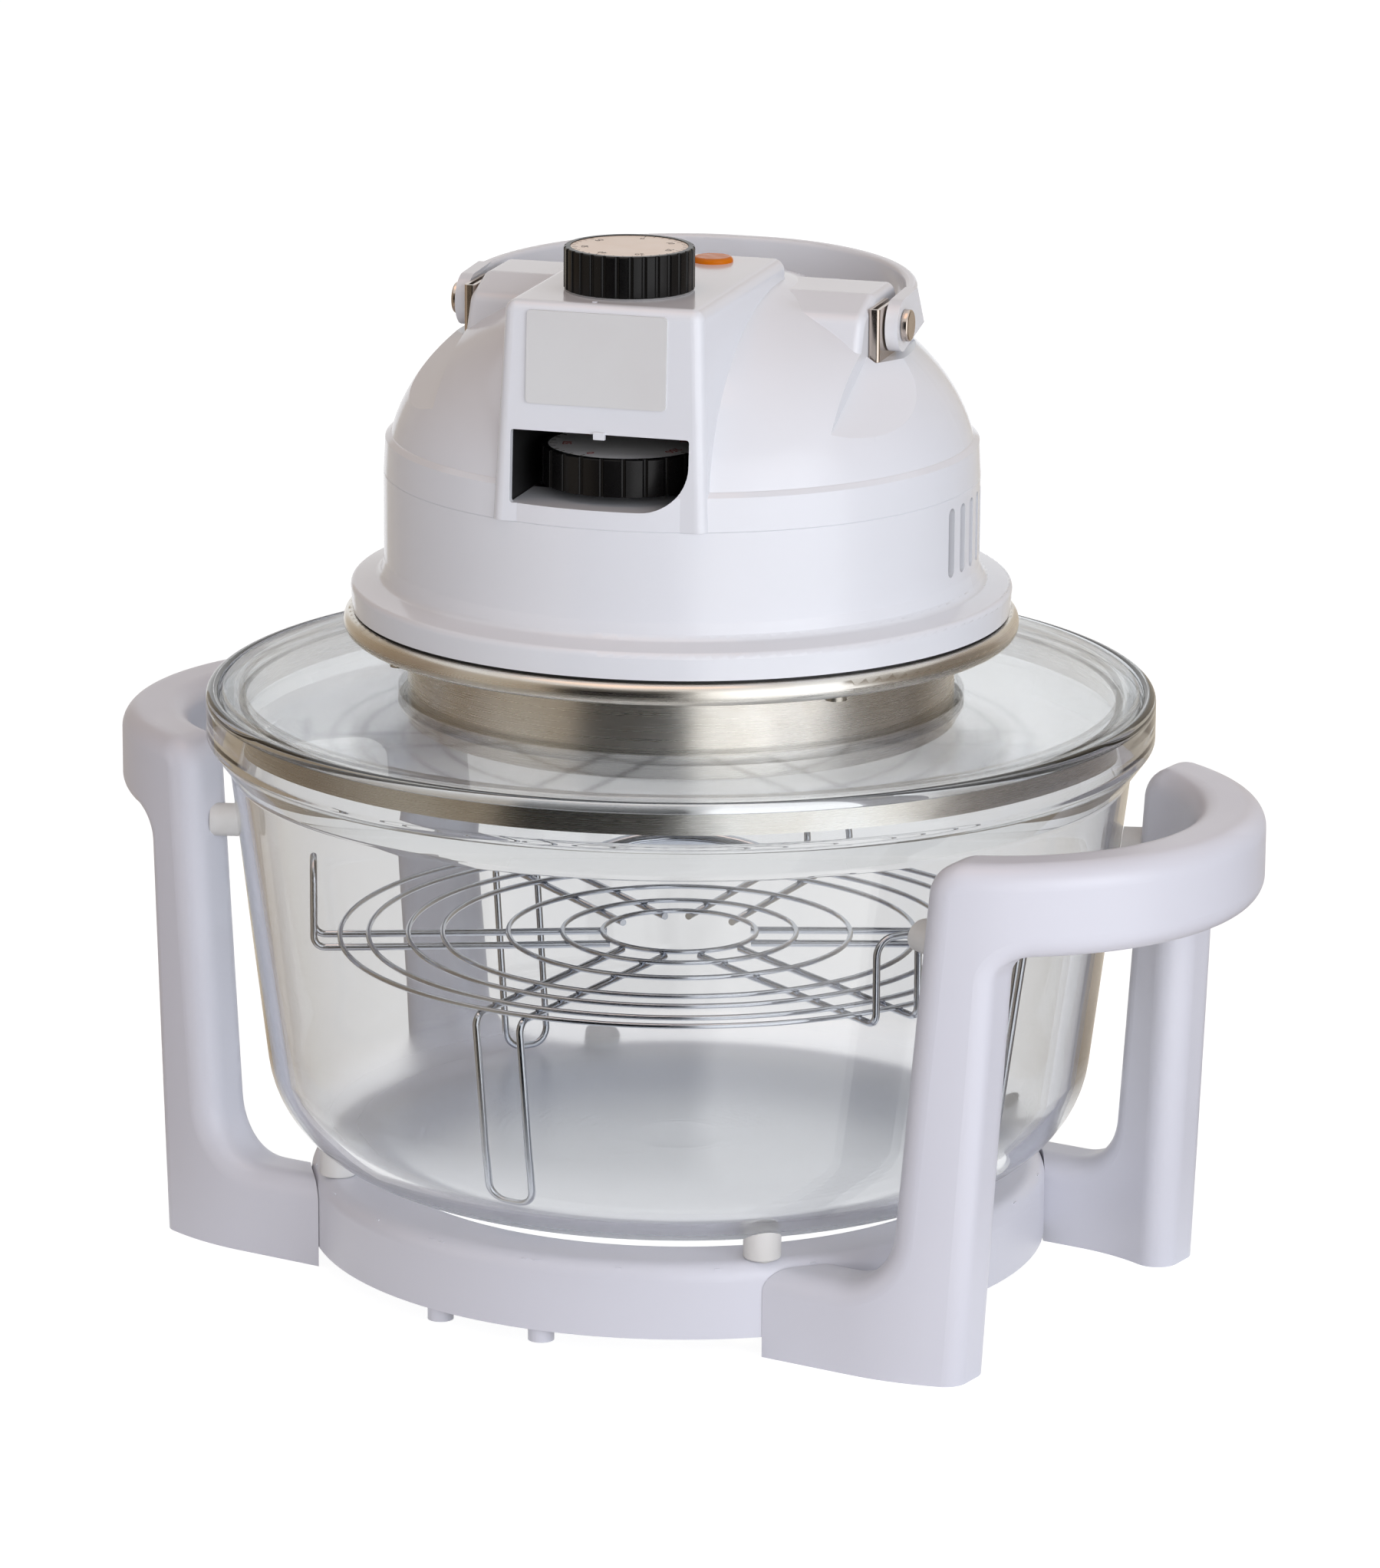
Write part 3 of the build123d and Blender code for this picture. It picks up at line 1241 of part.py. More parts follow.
def main():
    os.makedirs("parts", exist_ok=True)
    right = right_handle()
    stand = {
        "base_ring": base_ring(),
        "right_handle": right,
        "left_handle": mirror(right, Plane.YZ),
        "bowl_pads": bowl_pads(),
        "leg_bumpers": leg_bumpers(right),
        "base_screws": base_screws(),
        "glass_bowl": glass_bowl(),
        "rack_rings": rack_rings(),
        "rack_struts": rack_struts(),
    }
    head = {
        "glass_lid": glass_lid(),
        "lid_rim_band": lid_rim_band(),
        "heater_pan": with_screw_holes(heater_pan()),
        "glass_clamp_ring": glass_clamp_ring(),
        "pan_gasket": with_screw_holes(pan_gasket()),
        "reflector_plate": reflector_plate(),
        "heater_guard": heater_guard(),
        "halogen_tube": halogen_tube(),
        "tube_holders": tube_holders(),
        "lower_housing": with_screw_holes(lower_housing()),
        "upper_housing": upper_housing(),
        "name_plate": name_plate(),
        "timer_bezel": timer_bezel(),
        "timer_knob": timer_knob(),
        "timer_knob_disc": timer_knob_disc(),
        "timer_spindle": timer_spindle(),
        "timer_body": timer_body(),
        "thermostat_dial": thermostat_dial(),
        "dial_scale_disc": dial_scale_disc(),
        "thermostat_spindle": thermostat_spindle(),
        "thermostat_body": thermostat_body(),
        "lamp_lens": lamp_lens(),
        "indicator_lamp": indicator_lamp(),
        "carry_handle": carry_handle(),
        "hinge_pins": hinge_pins(),
        "hinge_plates": hinge_plates(),
        "motor_plate": motor_plate(),
        "shaft_bush": shaft_bush(),
        "motor_core": motor_core(),
        "motor_coil": motor_coil(),
        "bearing_strap": bearing_strap(),
        "motor_shaft": motor_shaft(),
        "motor_rotor": motor_rotor(),
        "convection_fan": convection_fan(),
        "cooling_fan": cooling_fan(),
        "safety_switch": safety_switch(),
        "terminal_block": terminal_block(),
        "cord_bush": cord_bush(),
        "pan_screws": pan_screws(),
    }
    for name, solid in stand.items():
        write(name, solid)
    for name, solid in head.items():
        write(name, [at_angle(s, LID_TURN) for s in as_list(solid)])


def as_list(solid):
    return solid if isinstance(solid, list) else [solid]


def write(name, solid):
    solids = [s for whole in as_list(solid) for s in whole.solids()]
    export_step(Compound(children=solids), f"parts/{name}.step")


main()
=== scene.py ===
import json
import math

import bmesh
import bpy
from mathutils import Matrix, Vector


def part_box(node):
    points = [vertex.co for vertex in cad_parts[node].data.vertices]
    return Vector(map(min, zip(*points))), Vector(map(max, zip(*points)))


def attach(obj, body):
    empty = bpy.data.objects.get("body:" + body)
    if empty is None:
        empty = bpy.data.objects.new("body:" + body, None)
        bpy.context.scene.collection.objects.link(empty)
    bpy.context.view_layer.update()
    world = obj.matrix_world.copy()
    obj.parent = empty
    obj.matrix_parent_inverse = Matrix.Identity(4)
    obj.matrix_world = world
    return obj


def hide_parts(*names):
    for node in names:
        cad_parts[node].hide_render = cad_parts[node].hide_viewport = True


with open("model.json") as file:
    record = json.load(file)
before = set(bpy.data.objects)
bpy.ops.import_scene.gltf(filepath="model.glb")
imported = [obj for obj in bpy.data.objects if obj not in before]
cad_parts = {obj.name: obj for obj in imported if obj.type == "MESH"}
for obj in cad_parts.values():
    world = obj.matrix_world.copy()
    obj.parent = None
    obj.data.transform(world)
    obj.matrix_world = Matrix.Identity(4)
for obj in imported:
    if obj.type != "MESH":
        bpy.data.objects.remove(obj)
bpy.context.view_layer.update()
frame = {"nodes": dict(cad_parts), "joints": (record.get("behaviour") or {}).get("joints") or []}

nodes = frame["nodes"]
scene = bpy.context.scene
mm = 0.001


# Colours, nodes and materials

def linear(code):
    parts = [int(code[i:i + 2], 16) / 255 for i in (1, 3, 5)]
    return [p / 12.92 if p <= 0.04045 else ((p + 0.055) / 1.055) ** 2.4 for p in parts] + [1.0]


def perMetre(sizeMm):  # texture scale for a pattern of that size
    return 1.0 / (sizeMm * mm)


def add(tree, kind, settings=None, links=None):  # one node, its settings, and what feeds it
    node = tree.nodes.new("ShaderNode" + kind)
    for key, value in (settings or {}).items():
        if isinstance(key, int) or key in node.inputs:
            node.inputs[key].default_value = value
        else:
            setattr(node, key, value)
    for key, source in (links or {}).items():
        tree.links.new(source, node.inputs[key])
    return node


def newMaterial(name):
    material = bpy.data.materials.new(name)
    material.use_nodes = True
    material.node_tree.nodes.clear()
    return material, material.node_tree


def show(tree, shader, inside=None):  # sends a shader to the surface, and one to the body's inside
    links = {"Surface": shader.outputs[0]}
    if inside:
        links["Volume"] = inside.outputs[0]
    add(tree, "OutputMaterial", links=links)


noiseSpan = {"From Min": 0.3, "From Max": 0.7}  # where soft noise mostly lies
colourA, colourB, colourOut = 6, 7, 2  # a Mix node's own sockets for colours
plainMirror = 0.5  # the reflection that a smooth surface has
bumpHeight = {  # of the relief where its depth is 1
    "grain": 0.05 * mm, "hairline": 0.02 * mm, "pit": 0.02 * mm, "wave": 0.3 * mm,
}


def blotches(tree, sizeMm, low, high, detail=2.0):  # soft noise between two numbers
    place = add(tree, "TexCoord").outputs["Object"]
    noise = add(tree, "TexNoise", {"Scale": perMetre(sizeMm), "Detail": detail}, {"Vector": place})
    spread = {**noiseSpan, "To Min": low, "To Max": high}
    return add(tree, "MapRange", spread, {"Value": noise.outputs["Fac"]}).outputs["Result"]


def mouldedPlastic(name, look):
    # Injection-moulded plastic: an even body colour, a gloss that breaks up slightly, and a
    # spark-eroded grain
    material, tree = newMaterial(name)
    plain, flow = linear(look["colour"]), linear(look["flowColour"])
    tones = {"data_type": "RGBA", colourA: plain, colourB: flow}
    tint = add(tree, "Mix", tones, {0: blotches(tree, look["flowMm"], 0.0, 1.0)})
    grain = blotches(tree, look["grainMm"], 0.0, 1.0)
    relief = {"Strength": look["grainDepth"], "Distance": bumpHeight["grain"]}
    bump = add(tree, "Bump", relief, {"Height": grain})
    gloss = blotches(tree, look["glossMm"], *look["roughness"])
    shader = add(
        tree, "BsdfPrincipled",
        {"IOR": look["ior"], "Specular IOR Level": look.get("mirror", plainMirror)},
        {"Base Color": tint.outputs[colourOut], "Roughness": gloss,
         "Normal": bump.outputs["Normal"]},
    )
    show(tree, shader)
    return material


# grain is 0.1 to 0.2 mm on the real mouldings, drawn at 0.5 mm or more so that it shows
headAbs = mouldedPlastic("moulded_white_abs", {  # the polished head, which mirrors things softly
    "colour": "#DEDFE2", "flowColour": "#DCDDE0", "flowMm": 120, "ior": 1.53,
    "roughness": (0.13, 0.16), "glossMm": 40, "grainMm": 0.6, "grainDepth": 0.015,
})
standPp = mouldedPlastic("moulded_white_polypropylene", {  # the stand, cooler and duller
    "colour": "#D4D4DA", "flowColour": "#D2D2D9", "flowMm": 120, "ior": 1.49,
    "roughness": (0.30, 0.36), "glossMm": 30, "grainMm": 0.6, "grainDepth": 0.04,
})
blackAbs = mouldedPlastic("moulded_black_abs", {  # satin black with grey lines on its flutes
    "colour": "#0D0C0C", "flowColour": "#100F0F", "flowMm": 20, "ior": 1.53,
    "mirror": 0.2,  # its grain scatters
    "roughness": (0.24, 0.32), "glossMm": 6, "grainMm": 0.5, "grainDepth": 0.06,
})
paintedShadeBlack = mouldedPlastic("painted_shade_matt_black", {  # painted shade: a matt black for the sheets that darken the dial's well and the drum's vents
    "colour": "#0B0B0B", "flowColour": "#0E0D0D", "flowMm": 20, "ior": 1.5,
    "roughness": (0.55, 0.65), "glossMm": 6, "grainMm": 0.5, "grainDepth": 0.1,
})
creamDisc = mouldedPlastic("printed_cream_styrene", {  # a matt beige scale plate
    "colour": "#F3E3D1", "flowColour": "#EFDECB", "flowMm": 12, "ior": 1.59,
    "roughness": (0.34, 0.42), "glossMm": 5, "grainMm": 0.5, "grainDepth": 0.05,
})
greyAbs = mouldedPlastic("moulded_grey_abs", {  # a plain mid grey washer under the knob
    "colour": "#8A8887", "flowColour": "#848281", "flowMm": 20, "ior": 1.53,
    "roughness": (0.38, 0.46), "glossMm": 6, "grainMm": 0.5, "grainDepth": 0.12,
})
dialGrey = mouldedPlastic("printed_grey_styrene", {  # a pale scale plate, grey in its slot's shade
    "colour": "#F4F2F0", "flowColour": "#F0EEEC", "flowMm": 12, "ior": 1.59,
    "roughness": (0.30, 0.38), "glossMm": 5, "grainMm": 0.5, "grainDepth": 0.06,
})
platePaint = mouldedPlastic("silver_grey_lacquer", {  # an even light grey with a satin sheen
    "colour": "#D4D4D2", "flowColour": "#D1D0CE", "flowMm": 30, "ior": 1.5,
    "roughness": (0.30, 0.36), "glossMm": 8, "grainMm": 0.5, "grainDepth": 0.04,
})
brownPhenolic = mouldedPlastic("moulded_brown_phenolic", {  # slightly mottled switch cases
    "colour": "#4A3626", "flowColour": "#3F2E21", "flowMm": 9, "ior": 1.6,
    "roughness": (0.36, 0.5), "glossMm": 6, "grainMm": 0.6, "grainDepth": 0.15,
})
siliconePad = mouldedPlastic("moulded_silicone_pad", {  # soft off-white with no sharp highlight
    "colour": "#DAD8D4", "flowColour": "#D4D2CD", "flowMm": 10, "ior": 1.41,
    "roughness": (0.44, 0.56), "glossMm": 4, "grainMm": 0.5, "grainDepth": 0.1,
})
blackEpdm = mouldedPlastic("moulded_black_epdm", {  # a dead black seal
    "colour": "#141312", "flowColour": "#191817", "flowMm": 15, "ior": 1.5,
    "roughness": (0.55, 0.7), "glossMm": 5, "grainMm": 0.6, "grainDepth": 0.3,
})
steatite = mouldedPlastic("pressed_steatite_ceramic", {  # chalky lamp holders
    "colour": "#D9D3C6", "flowColour": "#CEC7B8", "flowMm": 6, "ior": 1.6,
    "roughness": (0.6, 0.75), "glossMm": 3, "grainMm": 0.5, "grainDepth": 0.3,
})
darkInk = mouldedPlastic("pad_printed_dark_ink", {  # a thin matt print
    "colour": "#5A514A", "flowColour": "#625850", "flowMm": 2, "ior": 1.5,
    "roughness": (0.5, 0.6), "glossMm": 1, "grainMm": 0.5, "grainDepth": 0.05,
})
redInk = mouldedPlastic("pad_printed_red_ink", {  # a thin matt print
    "colour": "#A23A34", "flowColour": "#963530", "flowMm": 2, "ior": 1.5,
    "roughness": (0.5, 0.6), "glossMm": 1, "grainMm": 0.5, "grainDepth": 0.05,
})


def aroundAxis(tree, linesMm, alongMm):  # streaks that run round the Z axis
    place = add(tree, "TexCoord").outputs["Object"]
    split = add(tree, "SeparateXYZ", links={"Vector": place})
    sides = {0: split.outputs["Y"], 1: split.outputs["X"]}
    turn = add(tree, "Math", {"operation": "ARCTAN2"}, sides)
    flat = add(tree, "VectorMath", {"operation": "MULTIPLY", 1: (1, 1, 0)}, {0: place})
    reach = add(tree, "VectorMath", {"operation": "LENGTH"}, {0: flat.outputs["Vector"]})
    streakRadius = 100 * mm  # where a streak has the length that is asked for
    stretch = streakRadius * perMetre(alongMm) / perMetre(linesMm)
    slow = add(tree, "Math", {"operation": "MULTIPLY", 1: stretch}, {0: turn.outputs["Value"]})
    unrolled = {"X": reach.outputs["Value"], "Y": slow.outputs["Value"], "Z": split.outputs["Z"]}
    lines = add(tree, "CombineXYZ", links=unrolled).outputs["Vector"]
    noise = add(tree, "TexNoise", {"Scale": perMetre(linesMm), "Detail": 3.0}, {"Vector": lines})
    return noise.outputs["Fac"]


def spunSteel(name, look):
    # Sheet spun and brushed on a lathe: hairlines round the axis smear what it mirrors up and
    # down, and oven heat leaves a faint straw bloom on it
    material, tree = newMaterial(name)
    lines = aroundAxis(tree, look["hairlineMm"], look["streakMm"])
    smooth, dull = look["roughness"]
    rough = add(tree, "MapRange", {**noiseSpan, "To Min": smooth, "To Max": dull}, {"Value": lines})
    relief = {"Strength": look["hairlineDepth"], "Distance": bumpHeight["hairline"]}
    bump = add(tree, "Bump", relief, {"Height": lines})
    tangent = add(tree, "Tangent", {"direction_type": "RADIAL", "axis": "Z"})
    plain, bloom = linear(look["colour"]), linear(look["bloom"])
    tones = {"data_type": "RGBA", colourA: plain, colourB: bloom}
    tint = add(tree, "Mix", tones, {0: blotches(tree, look["bloomMm"], 0.0, 1.0, detail=3.0)})
    shader = add(
        tree, "BsdfPrincipled",
        {"Metallic": 1.0, "Anisotropic": look["anisotropy"],
         "Anisotropic Rotation": 0.25},  # a quarter turn: the smear crosses the hairlines
        {"Base Color": tint.outputs[colourOut], "Roughness": rough.outputs["Result"],
         "Normal": bump.outputs["Normal"], "Tangent": tangent.outputs["Tangent"]},
    )
    show(tree, shader)
    return material


# hairlines are about 0.05 mm on the real sheet, drawn at 0.5 mm so that they show
brushedSteel = spunSteel("spun_brushed_stainless", {  # bands of light and dark round pan and rim
    "colour": "#D9D7D3", "bloom": "#CBC4B9", "bloomMm": 38, "roughness": (0.25, 0.31),
    "hairlineMm": 0.5, "streakMm": 90, "hairlineDepth": 0.05, "anisotropy": 0.75,
})
reflectorAlu = spunSteel("spun_bright_aluminium", {  # brighter and less smeared than the steel
    "colour": "#DEDEDF", "bloom": "#D6D3CC", "bloomMm": 30, "roughness": (0.16, 0.24),
    "hairlineMm": 0.5, "streakMm": 40, "hairlineDepth": 0.06, "anisotropy": 0.5,
})


def wornMetal(name, look):
    # Drawn, plated or stamped metal: a clean mirror, dulled in small patches by handling and heat
    material, tree = newMaterial(name)
    gloss = blotches(tree, look["patchMm"], *look["roughness"], detail=4.0)
    pits = blotches(tree, look["pitMm"], 0.0, 1.0)
    relief = {"Strength": look["pitDepth"], "Distance": bumpHeight["pit"]}
    bump = add(tree, "Bump", relief, {"Height": pits})
    shader = add(
        tree, "BsdfPrincipled", {"Base Color": linear(look["colour"]), "Metallic": 1.0},
        {"Roughness": gloss, "Normal": bump.outputs["Normal"]},
    )
    show(tree, shader)
    return material


chromeWire = wornMetal("chrome_plated_wire", {  # bright rods with dark lines from the room
    "colour": "#C6CAD2", "roughness": (0.03, 0.09), "patchMm": 6, "pitMm": 0.8, "pitDepth": 0.05,
})
zincScrew = wornMetal("zinc_plated_steel", {  # dull, slightly yellow screws
    "colour": "#A8A49C", "roughness": (0.22, 0.36), "patchMm": 3, "pitMm": 0.5, "pitDepth": 0.15,
})
nickelPin = wornMetal("nickel_plated_pin", {  # a warm bright hinge
    "colour": "#C4B8AE", "roughness": (0.16, 0.26), "patchMm": 3, "pitMm": 0.5, "pitDepth": 0.1,
})
siliconSteel = wornMetal("laminated_silicon_steel", {  # dark stacked motor plates
    "colour": "#5E5D60", "roughness": (0.35, 0.5), "patchMm": 4, "pitMm": 0.5, "pitDepth": 0.3,
})
copperWire = wornMetal("enamelled_copper_winding", {  # a brown coil with orange lights
    "colour": "#A8592E", "roughness": (0.25, 0.4), "patchMm": 2, "pitMm": 0.6, "pitDepth": 0.5,
})
sinteredBronze = wornMetal("sintered_bronze", {  # a dull brown bush
    "colour": "#8F6E3A", "roughness": (0.4, 0.55), "patchMm": 2, "pitMm": 0.5, "pitDepth": 0.4,
})


def clearGlass(name, look):
    # Glass with slightly uneven walls: sharp reflections that wander, and a cool blue where it is
    # seen edge on
    material, tree = newMaterial(name)
    waves = blotches(tree, look["waveMm"], 0.0, 1.0, detail=1.0)
    relief = {"Strength": look["waveDepth"], "Distance": bumpHeight["wave"]}
    links = {"Normal": add(tree, "Bump", relief, {"Height": waves}).outputs["Normal"]}
    if "ribbedFloor" in look:  # the mould leaves fine ribs, which blur what lies under the floor
        floor = look["ribbedFloor"]
        place = add(tree, "SeparateXYZ", links={"Vector": add(tree, "TexCoord").outputs["Object"]})
        rise = {"From Min": floor["low"] * mm, "From Max": floor["high"] * mm}
        height = add(tree, "MapRange", rise, {"Value": place.outputs["Z"]}).outputs["Result"]
        gloss = {"To Min": floor["roughness"], "To Max": look["roughness"]}
        links["Roughness"] = add(tree, "MapRange", gloss, {"Value": height}).outputs["Result"]
        misty, plain = linear(floor["colour"]), linear(look["colour"])
        tones = {"data_type": "RGBA", colourA: misty, colourB: plain}
        links["Base Color"] = add(tree, "Mix", tones, {0: height}).outputs[colourOut]
    shader = add(
        tree, "BsdfPrincipled",
        {"Base Color": linear(look["colour"]), "Roughness": look["roughness"], "IOR": look["ior"],
         "Transmission Weight": look["clarity"], "Alpha": look["sheen"],
         "Specular IOR Level": look.get("mirror", plainMirror)},
        links,
    )
    clear = add(tree, "BsdfTransparent", {"Color": linear(look["shadow"])})
    path = add(tree, "LightPath")
    sides = {0: path.outputs["Is Shadow Ray"], 1: shader.outputs[0], 2: clear.outputs[0]}
    lets = add(tree, "MixShader", links=sides)  # lamps reach what is behind the glass
    stain = {"Color": linear(look["deep"]), "Density": look["density"]}
    show(tree, lets, add(tree, "VolumeAbsorption", stain))
    return material


bowlGlass = clearGlass("pressed_borosilicate_glass", {  # a thick clear wall over a misty floor
    "colour": "#EEEEEE", "shadow": "#FDFDFD", "deep": "#6FA3C0", "density": 7.0,
    "roughness": 0.0, "ior": 1.47, "waveMm": 45, "waveDepth": 0.05, "clarity": 1.0, "sheen": 1.0,
    "ribbedFloor": {
        "low": 42, "high": 52,  # millimetres up
        "roughness": 0.30, "colour": "#FDFDFF",
    },
})
lidGlass = clearGlass("toughened_float_glass", {  # a flat sheet, slightly hazy
    "colour": "#F8F8F7", "shadow": "#FDFDFD", "deep": "#5C9FC0", "density": 4.0,
    "roughness": 0.13, "ior": 1.52, "waveMm": 90, "waveDepth": 0.02, "clarity": 1.0,
    "sheen": 0.5,  # half its mirror, as a polarising filter leaves
})
quartzTube = clearGlass("drawn_quartz_tube", {  # a bright clear lamp
    "colour": "#F3F1EA", "shadow": "#F6F5F0", "deep": "#C8D8E0", "density": 1.0,
    "roughness": 0.04, "ior": 1.46, "waveMm": 12, "waveDepth": 0.05, "clarity": 1.0, "sheen": 1.0,
})
amberLens = clearGlass("amber_polycarbonate", {  # a saturated orange that hardly mirrors
    "colour": "#D47410", "shadow": "#FFB040", "deep": "#FF8A10", "density": 60.0,
    "roughness": 0.12, "ior": 1.58, "waveMm": 4, "waveDepth": 0.3, "clarity": 0.1, "sheen": 1.0,
    "mirror": 0.03,
})
print("materials:", len(bpy.data.materials))


# Which finish each CAD piece has

finishes = [
    (headAbs, "lower_housing upper_housing carry_handle cord_bush"),
    (standPp, "base_ring right_handle left_handle"),
    (blackAbs, "timer_knob thermostat_dial cooling_fan safety_switch"),
    (creamDisc, "timer_knob_disc terminal_block"),
    (dialGrey, "dial_scale_disc"),
    (greyAbs, "timer_bezel"),
    (brownPhenolic, "timer_body thermostat_body"),
    (siliconePad, "bowl_pads leg_bumpers"),
    (blackEpdm, "pan_gasket"),
    (steatite, "tube_holders"),
    (brushedSteel, "lid_rim_band heater_pan glass_clamp_ring motor_plate bearing_strap"),
    (reflectorAlu, "reflector_plate convection_fan"),
    (chromeWire, "rack_rings rack_struts heater_guard"),
    (zincScrew, "base_screws pan_screws timer_spindle thermostat_spindle motor_shaft"),
    (nickelPin, "hinge_pins hinge_plates"),
    (platePaint, "name_plate"),
    (siliconSteel, "motor_core motor_rotor"),
    (copperWire, "motor_coil"),
    (sinteredBronze, "shaft_bush"),
    (bowlGlass, "glass_bowl"),
    (lidGlass, "glass_lid"),
    (quartzTube, "halogen_tube"),
    (amberLens, "lamp_lens indicator_lamp"),
]
for material, names in finishes:
    for name in names.split():
        for place in nodes[name].material_slots:
            place.material = material
finished = {name for material, names in finishes for name in names.split()}
print("finishes on", len(finished), "of", len(nodes), "nodes")


# Mesh helpers

def newPiece(name, mesh, material, body):
    piece = bpy.data.objects.new(name, mesh)
    mesh.materials.append(material)
    scene.collection.objects.link(piece)
    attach(piece, body)
    return piece


def meshFrom(form, name):  # ends a bmesh
    mesh = bpy.data.meshes.new(name)
    form.to_mesh(mesh)
    form.free()
    return mesh


def rounded(points, steps):  # an outline of (radius, height, corner round), its corners made arcs
    line = []
    count = len(points)
    for n, (r, z, fillet) in enumerate(points):
        corner = Vector((r, z))
        if not fillet:
            line.append(corner)
            continue
        before = (Vector(points[n - 1][:2]) - corner).normalized()
        after = (Vector(points[(n + 1) % count][:2]) - corner).normalized()
        half = before.angle(after) / 2
        centre = corner + (before + after).normalized() * (fillet / math.sin(half))
        start = corner + before * (fillet / math.tan(half)) - centre
        sweep = start.angle_signed(corner + after * (fillet / math.tan(half)) - centre)
        for k in range(steps + 1):
            a = -sweep * k / steps
            c, s = math.cos(a), math.sin(a)
            line.append(centre + Vector((start.x * c - start.y * s, start.x * s + start.y * c)))
    return line


onAxis = 1e-4  # millimetres; an outline's point nearer the axis than that becomes a pole
sharpFrom = math.radians(40)  # an edge that bends more than that stays sharp


def lathe(name, outline, segments):  # a closed outline in millimetres, turned about Z
    form = bmesh.new()
    angles = [2 * math.pi * n / segments for n in range(segments)]
    rings = []
    for r, z in outline:
        if r < onAxis:
            rings.append([form.verts.new((0, 0, z * mm))] * segments)
            continue
        spots = [(r * mm * math.cos(a), r * mm * math.sin(a), z * mm) for a in angles]
        rings.append([form.verts.new(spot) for spot in spots])
    for a, b in zip(rings, rings[1:] + rings[:1]):
        for n in range(segments):
            m = (n + 1) % segments
            corners = list(dict.fromkeys((a[n], a[m], b[m], b[n])))
            if len(corners) > 2:
                form.faces.new(corners)
    bmesh.ops.recalc_face_normals(form, faces=form.faces)
    mesh = meshFrom(form, name)
    mesh.shade_smooth()
    mesh.set_sharp_from_angle(angle=sharpFrom)
    return mesh


# Glass bowl with the rings that its mould leaves under the floor

bowlForm = {
    "wall": 5.5, "floorCurve": 40.0, "cornerInset": 25.0, "neckInset": 8.0, "neckDrop": 11.0,
    "rimHeight": 16.0, "rimWall": 4.5, "ledgeDrop": 4.3, "ledgeWidth": 6.0, "ledgeRound": 0.5,
    "ringPitch": 3.0, "ringDepth": 0.07, "ringsFrom": 15.0, "ringsTo": 96.0,
    "ringSteps": 6, "arcSteps": 14, "segments": 288,
}


def buildBowl(look):
    low, high = (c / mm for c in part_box("glass_bowl"))
    rim, top, bottom, wall = high[0], high[2], low[2], look["wall"]
    corner, neck = rim - look["cornerInset"], rim - look["neckInset"]
    rimLow = top - look["rimHeight"]
    neckZ = rimLow - look["neckDrop"]
    lean = (neck - corner) / (neckZ - bottom)
    thick = wall * math.hypot(1, lean)
    floor = bottom + wall
    ledge, throat = top - look["ledgeDrop"], rim - look["rimWall"] - look["ledgeWidth"]
    outline = rounded([
        (corner, bottom, look["floorCurve"]),
        (neck, neckZ, wall),
        (rim, rimLow, wall / 2),
        (rim, top, wall / 2),
        (rim - look["rimWall"], top, wall / 3),
        (rim - look["rimWall"], ledge, look["ledgeRound"]),
        (throat, ledge, 2 * look["ledgeRound"]),
        (throat, rimLow, wall),
        (neck - thick, neckZ, wall),
        (corner - thick + (floor - bottom) * lean, floor, look["floorCurve"] - wall),
        (0, floor, 0),
        (0, bottom, 0),
    ], look["arcSteps"])
    perRing = look["ringSteps"]
    count = round((look["ringsTo"] - look["ringsFrom"]) / look["ringPitch"]) * perRing
    for n in range(count + 1):
        r = look["ringsFrom"] + n * look["ringPitch"] / perRing
        rise = look["ringDepth"] * (0.5 - 0.5 * math.cos(2 * math.pi * n / perRing))
        outline.append(Vector((r, bottom + rise)))
    mesh = lathe("bowl_glass", outline, look["segments"])
    piece = newPiece("bowl_glass", mesh, bowlGlass, "bowl")
    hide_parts("glass_bowl")


buildBowl(bowlForm)
print("bowl turned")


# Lid glass, fitted to the pan's wall

lidForm = {
    "edgeRound": 2.0, "panRadius": 95.0, "behindWall": 0.5, "arcSteps": 8, "segments": 288,
}


def buildLid(look):
    low, high = (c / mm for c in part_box("glass_lid"))
    hole = look["panRadius"] - look["behindWall"]
    outline = rounded([
        (hole, low[2], 0),
        (high[0], low[2], look["edgeRound"]),
        (high[0], high[2], look["edgeRound"]),
        (hole, high[2], 0),
    ], look["arcSteps"])
    mesh = lathe("lid_glass", outline, look["segments"])
    piece = newPiece("lid_glass", mesh, lidGlass, "lid")
    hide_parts("glass_lid")


buildLid(lidForm)
print("lid turned")


# Scales printed on the knob's and the dial's plates

foldAxis = next(j for j in frame["joints"] if j["name"] == "carry_handle_fold")["axis"]
headTurn = math.atan2(foldAxis[1], foldAxis[0])  # the head sits turned on the bowl


def inHead(x, y, z):  # a place given in millimetres on the head, seen from its own front
    return Matrix.Rotation(headTurn, 4, "Z") @ Vector((x * mm, y * mm, z * mm))


def bar(form, matrix, wide, deep, high):  # a small block with its foot on the matrix's own floor
    made = bmesh.ops.create_cube(form, size=1.0)["verts"]
    shape = Matrix.Translation((0, 0, high / 2)) @ Matrix.Diagonal((wide, deep, high, 1))
    bmesh.ops.transform(form, matrix=matrix @ shape, verts=made)


letterSteps = 3  # how finely a letter's curves are cut


